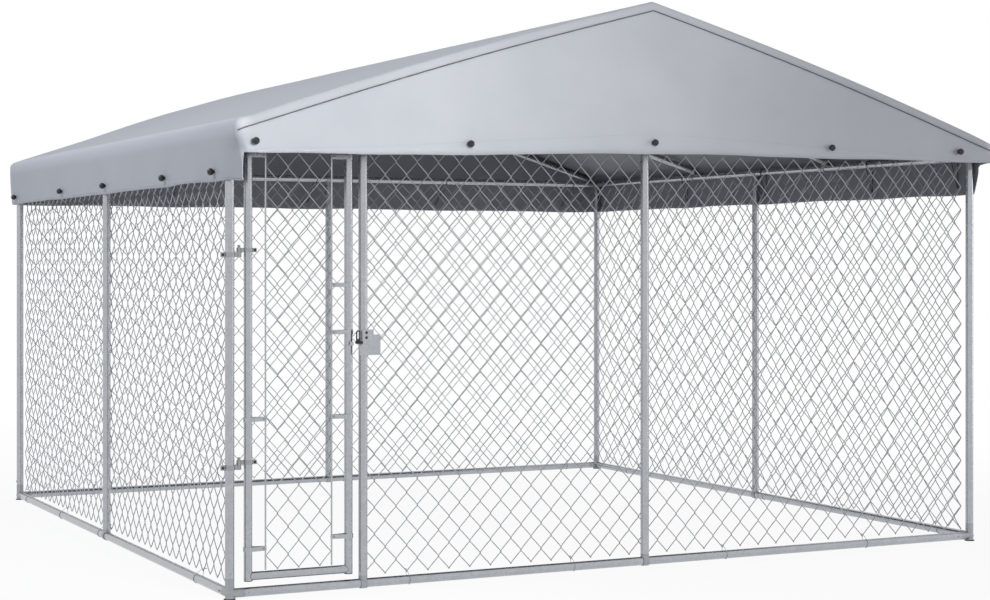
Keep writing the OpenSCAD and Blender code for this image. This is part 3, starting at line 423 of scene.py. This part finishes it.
# Each tie takes the tip of the net that is nearest to its place along the wall
for name, places in (("net_front", (-1.109, -0.315, 0.478, 1.272)),
                     ("net_right", (-1.670, -0.884, -0.098, 1.474)),
                     ("net_back", (-1.670, -0.884, -0.098, 0.688, 1.474)),
                     ("net_left", (-1.670, -0.884, -0.098, 1.474))):
    turn, x0, x1, columns = wall_nets[name]
    to_world = wall_frame(turn)
    step = (x1 - x0) / columns
    for near in places:
        x = x0 + step * round((near - x0) / step)
        for rail, up in ((rail_low, 1), (rail_top, -1)):
            loop = tight_loop(tube_r + tie_gap + tie_r, tip_r, net_in, tube_r + tip_up)
            tie_loops.append([to_world @ Vector((x, u, rail + up * w)) for u, w in loop])
            for start in (0, math.pi):
                tail = [(twist_r * math.cos(start + t), twist_r * math.sin(start + t), half_twist * t / math.pi)
                        for t in np.linspace(0, 6 * math.pi, 19)]
                tie_tails.append([to_world @ Vector((x + a, net_in + tip_r + tie_r + c,
                                                     rail + up * (tube_r + twist_up + b))) for a, b, c in tail])
ties = grow("tie_loops", wire_tree, paths("tie_loops", tie_loops, True), Radius=tie_r, Bend=0.0, Sides=6,
            Finish=wire_zinc)
tails = grow("tie_tails", wire_tree, paths("tie_tails", tie_tails), Radius=tie_r, Bend=0.0, Sides=5,
             Finish=wire_zinc)
for piece in (ties, tails):
    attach(piece, "frame")
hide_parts("tie_wires")

# Cover: one sheet of coated woven polyethylene sewn from the roof, its two side flaps and the two gable
# panels. It lies on the ridge pole and the rafters, and the bungees pull its hems in and down. At the front
# left the flap's end is drawn in towards the door.
half_eave, hem_flap, hem_front, hem_door = 1.928, 1.702, 1.851, 1.812
cover_y = 2.0652
cloth_t = 0.0025
eave_mid, eave_r = np.array((-1.8955, 1.9182)), 0.0325
ridge_mid, ridge_r = np.array((0.0, ridge_z)), 0.0252
rake_top = ridge_mid[1] + ridge_r / math.cos(pitch)


def arc(middle, radius, a0, a1, steps):
    angles = np.linspace(a0, a1, steps + 1)
    return [tuple(middle + radius * np.array((math.cos(a), math.sin(a)))) for a in angles]


# Section of the roof and flaps from hem to hem: low flap, high flap, eave fold, slope, ridge. The rows near
# the top keep the seam of the gables straight, 42 mm below the rake.
seam_drop, seam_row = 0.042, 3
to_seam = (0, 0.15, 0.45, 1)
low_steps, high_steps, fold_steps = 5, 10, 6


def heights(top, x, hem):
    seam = rake_top - abs(x) * math.tan(pitch) - seam_drop
    below = np.linspace(seam, hem, high_steps - seam_row + 1)[1:]
    return [top + (seam - top) * t for t in to_seam] + list(below)


def half_section(hem):
    low = [(-half_eave, z) for z in np.linspace(hem_flap, hem, low_steps + 1)[:-1]]
    return low + [(-half_eave, z) for z in heights(eave_mid[1], half_eave, hem)[:0:-1]] + above


above = arc(eave_mid, eave_r, math.pi, math.pi / 2 + pitch, fold_steps)
ridge_fold = arc(ridge_mid, ridge_r, math.pi / 2 + pitch, math.pi / 2, 3)
foot, head = np.array(above[-1]), np.array(ridge_fold[0])
slope_l = np.linalg.norm(head - foot)
slope_steps = 29
above_fold = [0.0072, 0.0177, 0.0333]
for d in above_fold + list(np.linspace(above_fold[-1], slope_l, slope_steps + 1)[1:-1]):
    above.append(tuple(foot + (head - foot) * d / slope_l))
above += ridge_fold
section = half_section(hem_door) + [(-x, z) for x, z in half_section(hem_front)[-2::-1]]
columns = len(section)
fold_start = low_steps + high_steps
along = np.concatenate(([0], np.cumsum([math.dist(a, b) for a, b in zip(section, section[1:])])))
# Rows across the roof: close together where the cloth turns down at the gables, and even between
edge_rows = (0, 0.006, 0.013, 0.021, 0.030, 0.042, 0.070)
inner_y, inner_rows = 1.93, 42
roof_rows = [-cover_y + d for d in edge_rows] + list(np.linspace(-inner_y, inner_y, inner_rows)) + \
            [cover_y - d for d in reversed(edge_rows)]

points, spread, faces = [], [], []


def corner(point, uv):
    points.append(point)
    spread.append(uv)
    return len(points) - 1


roof = [[corner((x, y, z), (along[j], y)) for j, (x, z) in enumerate(section)] for y in roof_rows]
for a, b in zip(roof, roof[1:]):
    faces += [(a[j], a[j + 1], b[j + 1], b[j]) for j in range(columns - 1)]
roof_count = len(points)


# Goes from 0 to 1 over a length
def ramp(value, over):
    return np.clip(value / over, 0, 1)


# A gable's columns hang from the fold's and slope's columns, and its outer ones are the flaps' own edges. The
# back panel reaches down to the flaps' hem. The front hem is lowest over the door. In the flat map the panels
# lie well apart from the roof.
hung = list(range(fold_start, columns - fold_start))
map_apart = 9


def gable(edge, y, deep):
    rows, last = [], len(hung) - 1
    for r in range(high_steps + low_steps + 1):
        row = []
        for k, j in enumerate(hung):
            x, top = section[j]
            hem = hem_front - (hem_front - hem_door) * ramp(mid_post_x - x, mid_post_x - jamb_x)
            if k in (0, last) or r == 0:
                row.append(edge[j - r if k == 0 else j + r if k == last else j])
            elif r > high_steps and not deep:
                row.append(None)
            else:
                z = heights(top, x, hem)[r] if r <= high_steps else \
                    hem + (hem_flap - hem) * (r - high_steps) / low_steps
                row.append(corner((x, y, z), (x, z - map_apart * np.sign(y))))
        rows.append(row)
    for a, b in zip(rows, rows[1:]):
        for k in range(last):
            quad = (a[k], b[k], b[k + 1], a[k + 1])
            if None not in quad:
                faces.append(quad if y < 0 else quad[::-1])
    return rows


front_rows = gable(roof[0], -cover_y, False)
back_rows = gable(roof[-1], cover_y, True)

# Balls, in each wall's own frame: how far out the cloth's face is, then where along the wall and how high
gable_out, flap_out = cover_y - half_run, half_eave - half_run
low_ball = 1.744
side_balls = [(x, low_ball) for x in (-1.87, -0.785, 0.08, 1.085, 1.785)]
ball_rows = [(0, gable_out, [(-1.85, 1.858), (-0.9, 1.8714), (0.0, 1.9004), (0.95, 1.902), (1.7, 1.902)]),
             (90, flap_out, [(-x, z) for x, z in side_balls]),
             (180, gable_out, [(x, low_ball) for x in (-1.72, -0.8, 0.08, 0.95, 1.72)]),
             (270, flap_out, side_balls)]
ball_spots = []
for turn, out, places in ball_rows:
    to_world = wall_frame(turn)
    for x, z in places:
        ball_spots.append((to_world @ Vector((x, -out, z)), to_world.to_3x3() @ Vector((0, -1, 0))))


# The cloth turns softly at its rakes and corners: distance of a point in the section from the outline, and
# the way in from it
def inside(x, z):
    side = np.where(x < 0, 1.0, -1.0)
    down = (rake_top - np.abs(x) * math.tan(pitch) - z) * math.cos(pitch)
    wall = half_eave - np.abs(x)
    ax, az = x * side - eave_mid[0], z - eave_mid[1]
    lean = math.sin(pitch)
    in_fold = (ax < -az * math.tan(pitch)) & (az > 0)
    reach = np.hypot(ax, az)
    on_wall = ~in_fold & (wall < down)
    depth = np.where(in_fold, eave_r - reach, np.minimum(wall, down))
    in_x = np.where(in_fold, -ax / np.maximum(reach, 1e-6), np.where(on_wall, 1.0, lean)) * side
    in_z = np.where(in_fold, -az / np.maximum(reach, 1e-6), np.where(on_wall, 0.0, -math.cos(pitch)))
    return depth, in_x, in_z


shape = np.array(points)
x, y, z = shape.T.copy()
depth, in_x, in_z = inside(x, z)
# It turns on 15 mm along the rakes and on 35 mm at the eaves and below, and nearly square under the front hem
rake_turn, eave_turn, turn_top, squared = 0.015, 0.035, 1.99, 0.95
turn_r = rake_turn + (eave_turn - rake_turn) * ramp(turn_top - z, 0.06)
turn_r *= 1 - squared * (y < 0) * ramp(np.where(x < 0, hem_door, hem_front) - z, 0.03)
from_end = cover_y - np.abs(y)
on_roof = np.arange(len(points)) < roof_count
share = ramp(np.where(on_roof, from_end, np.maximum(depth, 0)), turn_r)
angle = np.where(on_roof, math.pi / 4 * (1 - share), math.pi / 4 * (1 + share))
move = np.where(share < 1, turn_r * (1 - np.cos(angle)) - np.where(on_roof, 0, np.maximum(depth, 0)), 0)
shape[:, 0] += in_x * move
shape[:, 2] += in_z * move
shape[:, 1] = np.where(share < 1, np.sign(y) * (cover_y - turn_r * (1 - np.sin(angle))), y)

# The slopes swell a little from eave to ridge, the panels ripple, and the ripples die out at the balls
edge_rise, inner_rise, back_rise, slope_ripple = 0.022, 0.020, 0.008, 0.004
panel_ripple, panel_bulge, flap_bulge, flap_ripple = 0.007, 0.004, 0.006, 0.007
long_wave, short_wave = 2.3, 5.1
# The cloth is held within 30 mm of a ball, and is free 250 mm further out
held = np.array([tuple(p) for p, d in ball_spots])
near = np.min(np.linalg.norm(shape[:, None, :] - held[None, :, :], axis=2), axis=1)
free = ramp(near - 0.03, 0.25)
free = free * free * (3 - 2 * free)
up = ramp(half_eave - np.abs(x), half_eave)
on_slope = on_roof & (z > eave_mid[1] + eave_r)
deep_in = ramp(from_end, 0.5)
ripple = np.array([noise.noise(Vector(p) * long_wave) + 0.5 * noise.noise(Vector(p) * short_wave)
                   for p in points])
rise = edge_rise + deep_in * (inner_rise + back_rise * y / cover_y + slope_ripple * ripple)
rise = rise * np.sin(np.pi * up)
drawn = ramp(z - hem_front, np.maximum(rake_top - np.abs(x) * math.tan(pitch) - hem_front, 0.05))
shape[:, 2] += np.where(on_roof, np.where(on_slope, rise, 0), rise * drawn)
panel_free = np.where(on_roof, 0, ramp(depth - 0.045, 0.12))
shape[:, 1] += np.sign(y) * panel_free * free * (panel_ripple * ripple + panel_bulge)
on_flap = on_roof & (z < eave_mid[1])
down_flap = ramp(eave_mid[1] - z, eave_mid[1] - hem_flap)
hang = down_flap * ramp(from_end - 0.04, 0.2)
shape[:, 0] += np.where(on_flap, np.sign(x) * free * hang * (flap_bulge + flap_ripple * ripple), 0)
# The hems rise a little between the balls. The flaps' ends are drawn in: at the back by the corner balls, at
# the front right towards the post, and at the front left round the corner.
hem_rise, post_pull, hem_pull, ball_pull = 0.004, 0.115, 0.045, 0.06
door_pull, door_pull_top = 0.026, 1.878
at_hem = z < hem_flap + 0.001
at_hem[front_rows[high_steps][1:-1]] = True
shape[:, 2] += np.where(at_hem, free * hem_rise * (1 + ripple), 0)
low = ramp(hem_front - z, hem_front - hem_flap)
at_end = (1 - ramp(from_end, 0.7)) ** 2
to_post = (post_pull * ramp(rail_top - z, 0.03) + hem_pull * low) * ((x > 0) & (y < 0) & on_roof)
near_side = 1 - ramp(half_eave - np.abs(x), 0.16)
to_ball = ball_pull * down_flap * down_flap * (y > 0) * near_side * near_side
shape[:, 1] += at_end * (to_post - to_ball)
to_door = door_pull * ramp(door_pull_top - z, 0.05) * ((x < 0) & (y < 0))
shape[:, 0] += to_door * (1 - np.where(on_roof, ramp(from_end, 0.135), ramp(half_eave + x, 0.25)))

cover_mesh = bpy.data.meshes.new("cover_sheet")
cover_mesh.from_pydata([tuple(p) for p in shape], [], faces)
flat_map = cover_mesh.uv_layers.new(name="cloth")
flat_uv = [spread[c.vertex_index] for c in cover_mesh.loops]
flat_map.data.foreach_set("uv", np.array(flat_uv, dtype=float).ravel())
cover = bpy.data.objects.new("cover_sheet", cover_mesh)
bpy.context.scene.collection.objects.link(cover)
cover_mesh.polygons.foreach_set("use_smooth", [True] * len(faces))

# Flat tapes of polyethylene about 2.8 mm wide, in plain weave under a clear coat: dull grey with a soft gloss,
# and a weave that shows only from close by, as in the photo. A wave node repeats every pi / 10 over its scale,
# and one repeat is two tapes.
tape_w = 0.0028274
weave_scale = math.pi / 10 / (2 * tape_w)
cloth_outer, tree, shader, place = finish_of("coated_woven_polyethylene")
warp = add(tree, "ShaderNodeTexWave", {"Vector": place.outputs["UV"], "Scale": weave_scale},
           bands_direction="X")
weft = add(tree, "ShaderNodeTexWave", {"Vector": place.outputs["UV"], "Scale": weave_scale},
           bands_direction="Y")
weave = add(tree, "ShaderNodeMath", {0: warp.outputs["Fac"], 1: weft.outputs["Fac"]}, operation="MULTIPLY")
patch = add(tree, "ShaderNodeTexNoise", {"Vector": place.outputs["UV"], "Scale": 1 / 0.45, "Detail": 4.0,
                                         "Roughness": 0.55})
worn = add(tree, "ShaderNodeMath", {0: weave.outputs[0], 1: 0.12, 2: patch.outputs["Fac"]},
           operation="MULTIPLY_ADD")
tone = add(tree, "ShaderNodeMix", {0: worn.outputs[0], 6: linear("#adb2bb"), 7: linear("#c3c7cf")},
           data_type="RGBA")
# The fold at the eaves is painted paler: a painted highlight along the eave's roll
fold_spot = (half_eave - 0.009, 0, 1.941)
spot = add(tree, "ShaderNodeVectorMath", {0: place.outputs["Object"]}, operation="ABSOLUTE")
spot = add(tree, "ShaderNodeVectorMath", {0: spot.outputs[0], 1: (1, 0, 1)}, operation="MULTIPLY")
from_fold = add(tree, "ShaderNodeVectorMath", {0: spot.outputs[0], 1: fold_spot}, operation="DISTANCE")
fold_highlight = add(tree, "ShaderNodeMapRange", {"Value": from_fold.outputs["Value"], "From Min": 0.015,
                                          "From Max": 0.075, "To Min": 1.0, "To Max": 0.0},
             interpolation_type="SMOOTHSTEP")
tone = add(tree, "ShaderNodeMix", {0: fold_highlight.outputs[0], 6: tone.outputs[2], 7: linear("#cfd3dc")},
           data_type="RGBA")
gloss = add(tree, "ShaderNodeMapRange", {"Value": patch.outputs["Fac"], "To Min": 0.42, "To Max": 0.6})
relief = add(tree, "ShaderNodeBump", {"Height": weave.outputs[0], "Strength": 0.12, "Distance": 0.0006})
feed(tree, shader, {"Base Color": tone.outputs[2], "Roughness": gloss.outputs[0], "Normal": relief.outputs[0],
                    "Specular IOR Level": 0.35})

# The underside is painted a darker grey than the top side, as painted shade for the inside of the cover, and it
# is matt
cloth_underside_painted_shade, tree, shader, place = finish_of("coated_cloth_underside")
patch = add(tree, "ShaderNodeTexNoise", {"Vector": place.outputs["UV"], "Scale": 1 / 0.35, "Detail": 3.0})
tone = add(tree, "ShaderNodeMix", {0: patch.outputs["Fac"], 6: linear("#888990"), 7: linear("#94959c")},
           data_type="RGBA")
warp = add(tree, "ShaderNodeTexWave", {"Vector": place.outputs["UV"], "Scale": weave_scale},
           bands_direction="X")
relief = add(tree, "ShaderNodeBump", {"Height": warp.outputs["Fac"], "Strength": 0.1, "Distance": 0.0006})
feed(tree, shader, {"Base Color": tone.outputs[2], "Normal": relief.outputs[0], "Roughness": 0.7})

cover_mesh.materials.append(cloth_outer)
cover_mesh.materials.append(cloth_underside_painted_shade)
rounded = cover.modifiers.new("rounded", "SUBSURF")
rounded.levels = rounded.render_levels = 1
thick = cover.modifiers.new("thick", "SOLIDIFY")
thick.thickness = cloth_t
thick.offset = -1
thick.material_offset = 1
finished = bpy.data.meshes.new_from_object(cover.evaluated_get(bpy.context.evaluated_depsgraph_get()))
cover.modifiers.clear()
cover.data = finished
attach(cover, "frame")
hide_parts("cover_roof", "cover_front_gable", "cover_back_gable")

# Piping: a cord in a matt tape, sewn into the seam between each gable panel and the roof's turned-down edge.
# Its tape is dark grey, and this dark is partly painted shade for the gap at the seam, so it draws a thin dark
# line along the rakes.
piping_cloth, tree, shader, place = finish_of("piping_tape")
patch = add(tree, "ShaderNodeTexNoise", {"Vector": place.outputs["Object"], "Scale": 1 / 0.02, "Detail": 3.0})
tone = add(tree, "ShaderNodeMix", {0: patch.outputs["Fac"], 6: linear("#55585e"), 7: linear("#74777d")},
           data_type="RGBA")
feed(tree, shader, {"Base Color": tone.outputs[2], "Roughness": 0.6})
piping_out = 0.001
seams = [[Vector(shape[i]) + Vector((0, side * piping_out, 0)) for i in rows[seam_row]]
         for rows, side in ((front_rows, -1), (back_rows, 1))]
piping = grow("gable_piping", wire_tree, paths("gable_piping", seams), Radius=0.003, Bend=0.0, Sides=8,
              Finish=piping_cloth)
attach(piping, "frame")

# Hem stitches: pale twisted polyester thread, one row along each hem and one on each side of the piping, with
# a stitch about every 10 mm. They are drawn a little thick, so that they show.
thread, tree, shader, place = finish_of("polyester_thread")
twist = add(tree, "ShaderNodeTexNoise", {"Vector": place.outputs["Object"], "Scale": 1 / 0.003})
tone = add(tree, "ShaderNodeMix", {0: twist.outputs["Fac"], 6: linear("#a0a5ae"), 7: linear("#b3b8c0")},
           data_type="RGBA")
feed(tree, shader, {"Base Color": tone.outputs[2], "Roughness": 0.65})
stitch_tree, put = new_tree("stitches", Length="Float", Pitch="Float", Radius="Float", Finish="Material")
line = add(stitch_tree, "GeometryNodeMeshToCurve", {"Mesh": put["Geometry"]})
spaced = add(stitch_tree, "GeometryNodeCurveToPoints", {"Curve": line.outputs[0], "Length": put["Pitch"]},
             mode="LENGTH")
stitch = add(stitch_tree, "GeometryNodeMeshCylinder", {"Vertices": 5, "Radius": put["Radius"],
                                                       "Depth": put["Length"]})
turned = add(stitch_tree, "FunctionNodeAlignRotationToVector", {"Vector": spaced.outputs["Tangent"]}, axis="Z")
placed = add(stitch_tree, "GeometryNodeInstanceOnPoints", {"Points": spaced.outputs[0],
                                                           "Instance": stitch.outputs["Mesh"],
                                                           "Rotation": turned.outputs[0]})
close_tree(stitch_tree, placed.outputs[0], put["Finish"])
# The rows stop short of the corners
stitch_out, beside_seam, flap_drop, gable_drop = 0.0004, 0.008, 0.008, 0.001
flap_rows, gable_columns = slice(6, -6), slice(9, -9)
stitch_lines = []
for j, side in ((1, -1), (columns - 2, 1)):
    lift = Vector((side * stitch_out, 0, -flap_drop))
    stitch_lines.append([Vector(shape[row[j]]) + lift for row in roof[flap_rows]])
for rows, side, r in ((front_rows, -1, high_steps - 1), (back_rows, 1, -2)):
    lift = Vector((0, side * stitch_out, -gable_drop))
    stitch_lines.append([Vector(shape[i]) + lift for i in rows[r][gable_columns]])
for rows, side in ((front_rows, -1), (back_rows, 1)):
    for drop in (-beside_seam, beside_seam):
        lift = Vector((0, side * stitch_out, drop))
        stitch_lines.append([Vector(shape[i]) + lift for i in rows[seam_row][gable_columns]])
stitches = grow("hem_stitches", stitch_tree, paths("hem_stitches", stitch_lines), Length=0.0065, Pitch=0.010,
                Radius=0.0006, Finish=thread)
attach(stitches, "frame")

# Eyelets: rings of thin brass, pressed through the cloth where the cords pass. Their nickel plate is bright,
# warm and a little scuffed.
nickel, tree, shader, place = finish_of("nickel_plated_brass")
scuff = add(tree, "ShaderNodeTexNoise", {"Vector": place.outputs["Object"], "Scale": 1 / 0.004, "Detail": 3.0})
tone = add(tree, "ShaderNodeMix", {0: scuff.outputs["Fac"], 6: linear("#a9a7a2"), 7: linear("#cbc9c4")},
           data_type="RGBA")
gloss = add(tree, "ShaderNodeMapRange", {"Value": scuff.outputs["Fac"], "To Min": 0.18, "To Max": 0.35})
feed(tree, shader, {"Base Color": tone.outputs[2], "Roughness": gloss.outputs[0], "Metallic": 1.0})
coat(nickel, "cover_eyelets")

# Bungee balls: hollow black polypropylene, moulded smooth and glossy in two halves, with a seam round the
# middle and a flat outside where the cord's knot sits. Each rests on its eyelet.
ball_plastic, tree, shader, place = finish_of("moulded_polypropylene")
flow = add(tree, "ShaderNodeTexNoise", {"Vector": place.outputs["Object"], "Scale": 1 / 0.012, "Detail": 2.0})
tone = add(tree, "ShaderNodeMix", {0: flow.outputs["Fac"], 6: linear("#15161b"), 7: linear("#262932")},
           data_type="RGBA")
feed(tree, shader, {"Base Color": tone.outputs[2], "Roughness": 0.28})
ball_tree, put = new_tree("moulded_balls", Radius="Float", Seam="Float", Rise="Float", Finish="Material")
ball = add(ball_tree, "GeometryNodeMeshUVSphere", {"Segments": 24, "Rings": 18, "Radius": put["Radius"]})
spot = add(ball_tree, "GeometryNodeInputPosition")
parts = add(ball_tree, "ShaderNodeSeparateXYZ", {0: spot.outputs[0]})
# The ring at the middle is pushed out for the seam, and the outer end is cut at 93 % of the radius
off = add(ball_tree, "ShaderNodeMath", {0: parts.outputs["Z"]}, operation="ABSOLUTE")
on_seam = add(ball_tree, "ShaderNodeMath", {0: off.outputs[0], 1: 0.0005}, operation="LESS_THAN")
ridge = add(ball_tree, "ShaderNodeMath", {0: on_seam.outputs[0], 1: put["Seam"]}, operation="MULTIPLY")
outward = add(ball_tree, "GeometryNodeInputNormal")
push = add(ball_tree, "ShaderNodeVectorMath", {0: outward.outputs[0], "Scale": ridge.outputs[0]},
           operation="SCALE")
seamed = add(ball_tree, "GeometryNodeSetPosition", {"Geometry": ball.outputs["Mesh"],
                                                    "Offset": push.outputs[0]})
flat = add(ball_tree, "ShaderNodeMath", {0: put["Radius"], 1: 0.93}, operation="MULTIPLY")
pole = add(ball_tree, "ShaderNodeMath", {0: parts.outputs["Z"], 1: flat.outputs[0]}, operation="MINIMUM")
cut = add(ball_tree, "ShaderNodeCombineXYZ", {"X": parts.outputs["X"], "Y": parts.outputs["Y"],
                                              "Z": pole.outputs[0]})
cut_off = add(ball_tree, "GeometryNodeSetPosition", {"Geometry": seamed.outputs[0], "Position": cut.outputs[0]})
lift = add(ball_tree, "ShaderNodeCombineXYZ", {"Z": put["Rise"]})
raised = add(ball_tree, "GeometryNodeTransform", {"Geometry": cut_off.outputs[0],
                                                  "Translation": lift.outputs[0]})
smooth = add(ball_tree, "GeometryNodeSetShadeSmooth", {"Geometry": raised.outputs[0]})
close_tree(ball_tree, stand(ball_tree, put["Geometry"], smooth.outputs[0]).outputs[0], put["Finish"])
balls = grow("bungee_ball_set", ball_tree, points_facing("bungee_ball_set", ball_spots), Radius=0.015,
             Seam=0.0002, Rise=0.01594, Finish=ball_plastic)
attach(balls, "frame")
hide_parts("bungee_balls")

# Bungee cords: black elastic 4 mm thick in a braided sleeve that leaves it matt. Each goes from its ball
# through the eyelet, up round the top rail and back.
elastic, tree, shader, place = finish_of("braided_elastic")
braid = add(tree, "ShaderNodeTexVoronoi", {"Vector": place.outputs["Object"], "Scale": 1 / 0.0015})
tone = add(tree, "ShaderNodeMix", {0: braid.outputs["Distance"], 6: linear("#26272b"), 7: linear("#45474d")},
           data_type="RGBA")
relief = add(tree, "ShaderNodeBump", {"Height": braid.outputs["Distance"], "Strength": 0.4, "Distance": 0.0004})
feed(tree, shader, {"Base Color": tone.outputs[2], "Normal": relief.outputs[0], "Roughness": 0.75})
# The two runs come together behind the cloth, and their end is inside the ball
cord_r, cord_gap = 0.0019, 0.0003
meet_r, meet_in, end_out, end_half = 0.0021, 0.0068, 0.012, 0.002
rail_points, meet_points = 16, 4
cord_lines = []
for turn, out, places in ball_rows:
    to_world = wall_frame(turn)
    meet = out - cloth_t - meet_in
    for x, z in places:
        drop = z - rail_top
        loop = tight_loop(tube_r + cord_gap + cord_r, meet_r, meet, drop, rail_points, meet_points)
        end = [(out + end_out, drop - end_half), (out + end_out, drop + end_half)]
        halfway = rail_points + meet_points // 2
        line = loop[:halfway] + end + loop[halfway:]
        cord_lines.append([to_world @ Vector((x, -u, rail_top + w)) for u, w in line])
cords = grow("bungee_cord_set", wire_tree, paths("bungee_cord_set", cord_lines, True), Radius=cord_r,
             Bend=0.002, Sides=8, Finish=elastic)
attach(cords, "frame")
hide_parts("bungee_loops")

# Door frame: two stiles and two rails of 35 mm galvanised tube, coped and welded, with black plugs in the
# stiles' ends. The weld beads are brushed over with zinc paint.
coat(tube_zinc, "door_hinge_stile", "door_latch_stile", "door_top_rail", "door_bottom_rail")
coat(plastic, "door_stile_plugs")

# Brushed zinc paint over the ripples of a weld: darker and rougher than the tube
weld_zinc, tree, shader, place = finish_of("zinc_painted_weld")
ripples = add(tree, "ShaderNodeTexNoise", {"Vector": place.outputs["Object"], "Scale": 1 / 0.003,
                                           "Detail": 3.0})
tone = add(tree, "ShaderNodeMix", {0: ripples.outputs["Fac"], 6: linear("#83868a"), 7: linear("#aaadb1")},
           data_type="RGBA")
relief = add(tree, "ShaderNodeBump", {"Height": ripples.outputs["Fac"], "Strength": 0.5, "Distance": 0.001})
feed(tree, shader, {"Base Color": tone.outputs[2], "Normal": relief.outputs[0], "Metallic": 0.9,
                    "Roughness": 0.5})
# A bead goes round the rail's end, where the rail's tube meets the stile's
door_r = 0.0175
hinge_stile, latch_stile = -1.822, -1.3825
door_low, door_top = 0.090, 1.8425
on_rail, on_stile = door_r + 0.0004, door_r + 0.0012
beads = []
for stile, side in ((hinge_stile, 1), (latch_stile, -1)):
    for z in (door_low, door_top):
        bead = []
        for t in np.linspace(0, 2 * math.pi, 40, endpoint=False):
            across = on_rail * math.cos(t)
            out = math.sqrt(max(on_stile ** 2 - across ** 2, 0))
            bead.append((stile + side * out, across - half_run, z + on_rail * math.sin(t)))
        beads.append(bead)
welds = grow("door_weld_beads", wire_tree, paths("door_weld_beads", beads, True), Radius=0.0016, Bend=0.0,
             Sides=6, Finish=weld_zinc)
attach(welds, "door")

# Door net: three diamonds of the same chain link, stretched between two flat bars. Bands clamp the bars to
# the stiles, each with a small bolt.
door_net_x, door_net_z, door_net_w, door_net_h = -1.7437, 0.1115, 0.2829, 1.7095
door_net = grow("chain_link_door", net_tree, bpy.data.meshes.new("door_net"), Width=door_net_w - wire,
                Height=door_net_h, Columns=3, Rows=15, Wire=wire, Depth=net_depth, Phase=0.5, Finish=wire_zinc)
door_net.data.transform(Matrix.Translation((door_net_x + wire / 2, -half_run, door_net_z)))
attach(door_net, "door")
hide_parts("door_net")
coat(tube_zinc, "door_tension_bars", "door_tension_bands")
coat(fitting_zinc, "door_band_bolts")

# Hinges: straps pressed from galvanised steel and clamped with black bolts. The pins stand on the post's
# straps and the door's eyes turn on them.

# Black oxide on steel: dark, with a low shine where it is rubbed
dark_steel, tree, shader, place = finish_of("blackened_steel")
rub = add(tree, "ShaderNodeTexNoise", {"Vector": place.outputs["Object"], "Scale": 1 / 0.006, "Detail": 4.0})
tone = add(tree, "ShaderNodeMix", {0: rub.outputs["Fac"], 6: linear("#25272c"), 7: linear("#4b4e55")},
           data_type="RGBA")
gloss = add(tree, "ShaderNodeMapRange", {"Value": rub.outputs["Fac"], "To Min": 0.3, "To Max": 0.5})
feed(tree, shader, {"Base Color": tone.outputs[2], "Roughness": gloss.outputs[0], "Metallic": 0.8})
coat(fitting_zinc, "hinge_pintle_upper", "hinge_pintle_lower", "hinge_eye_upper", "hinge_eye_lower")
coat(dark_steel, "pintle_clamp_bolts", "hinge_eye_clamp_bolts")

# Latch: a galvanised plate bolted through the jamb, with guides on its back, a black slide bolt with a padlock
# loop, and the keeper on the latch stile that the bolt's nose goes into.
coat(tube_zinc, "latch_plate", "latch_keeper")
coat(dark_steel, "latch_fixing_bolts", "slide_bolt")
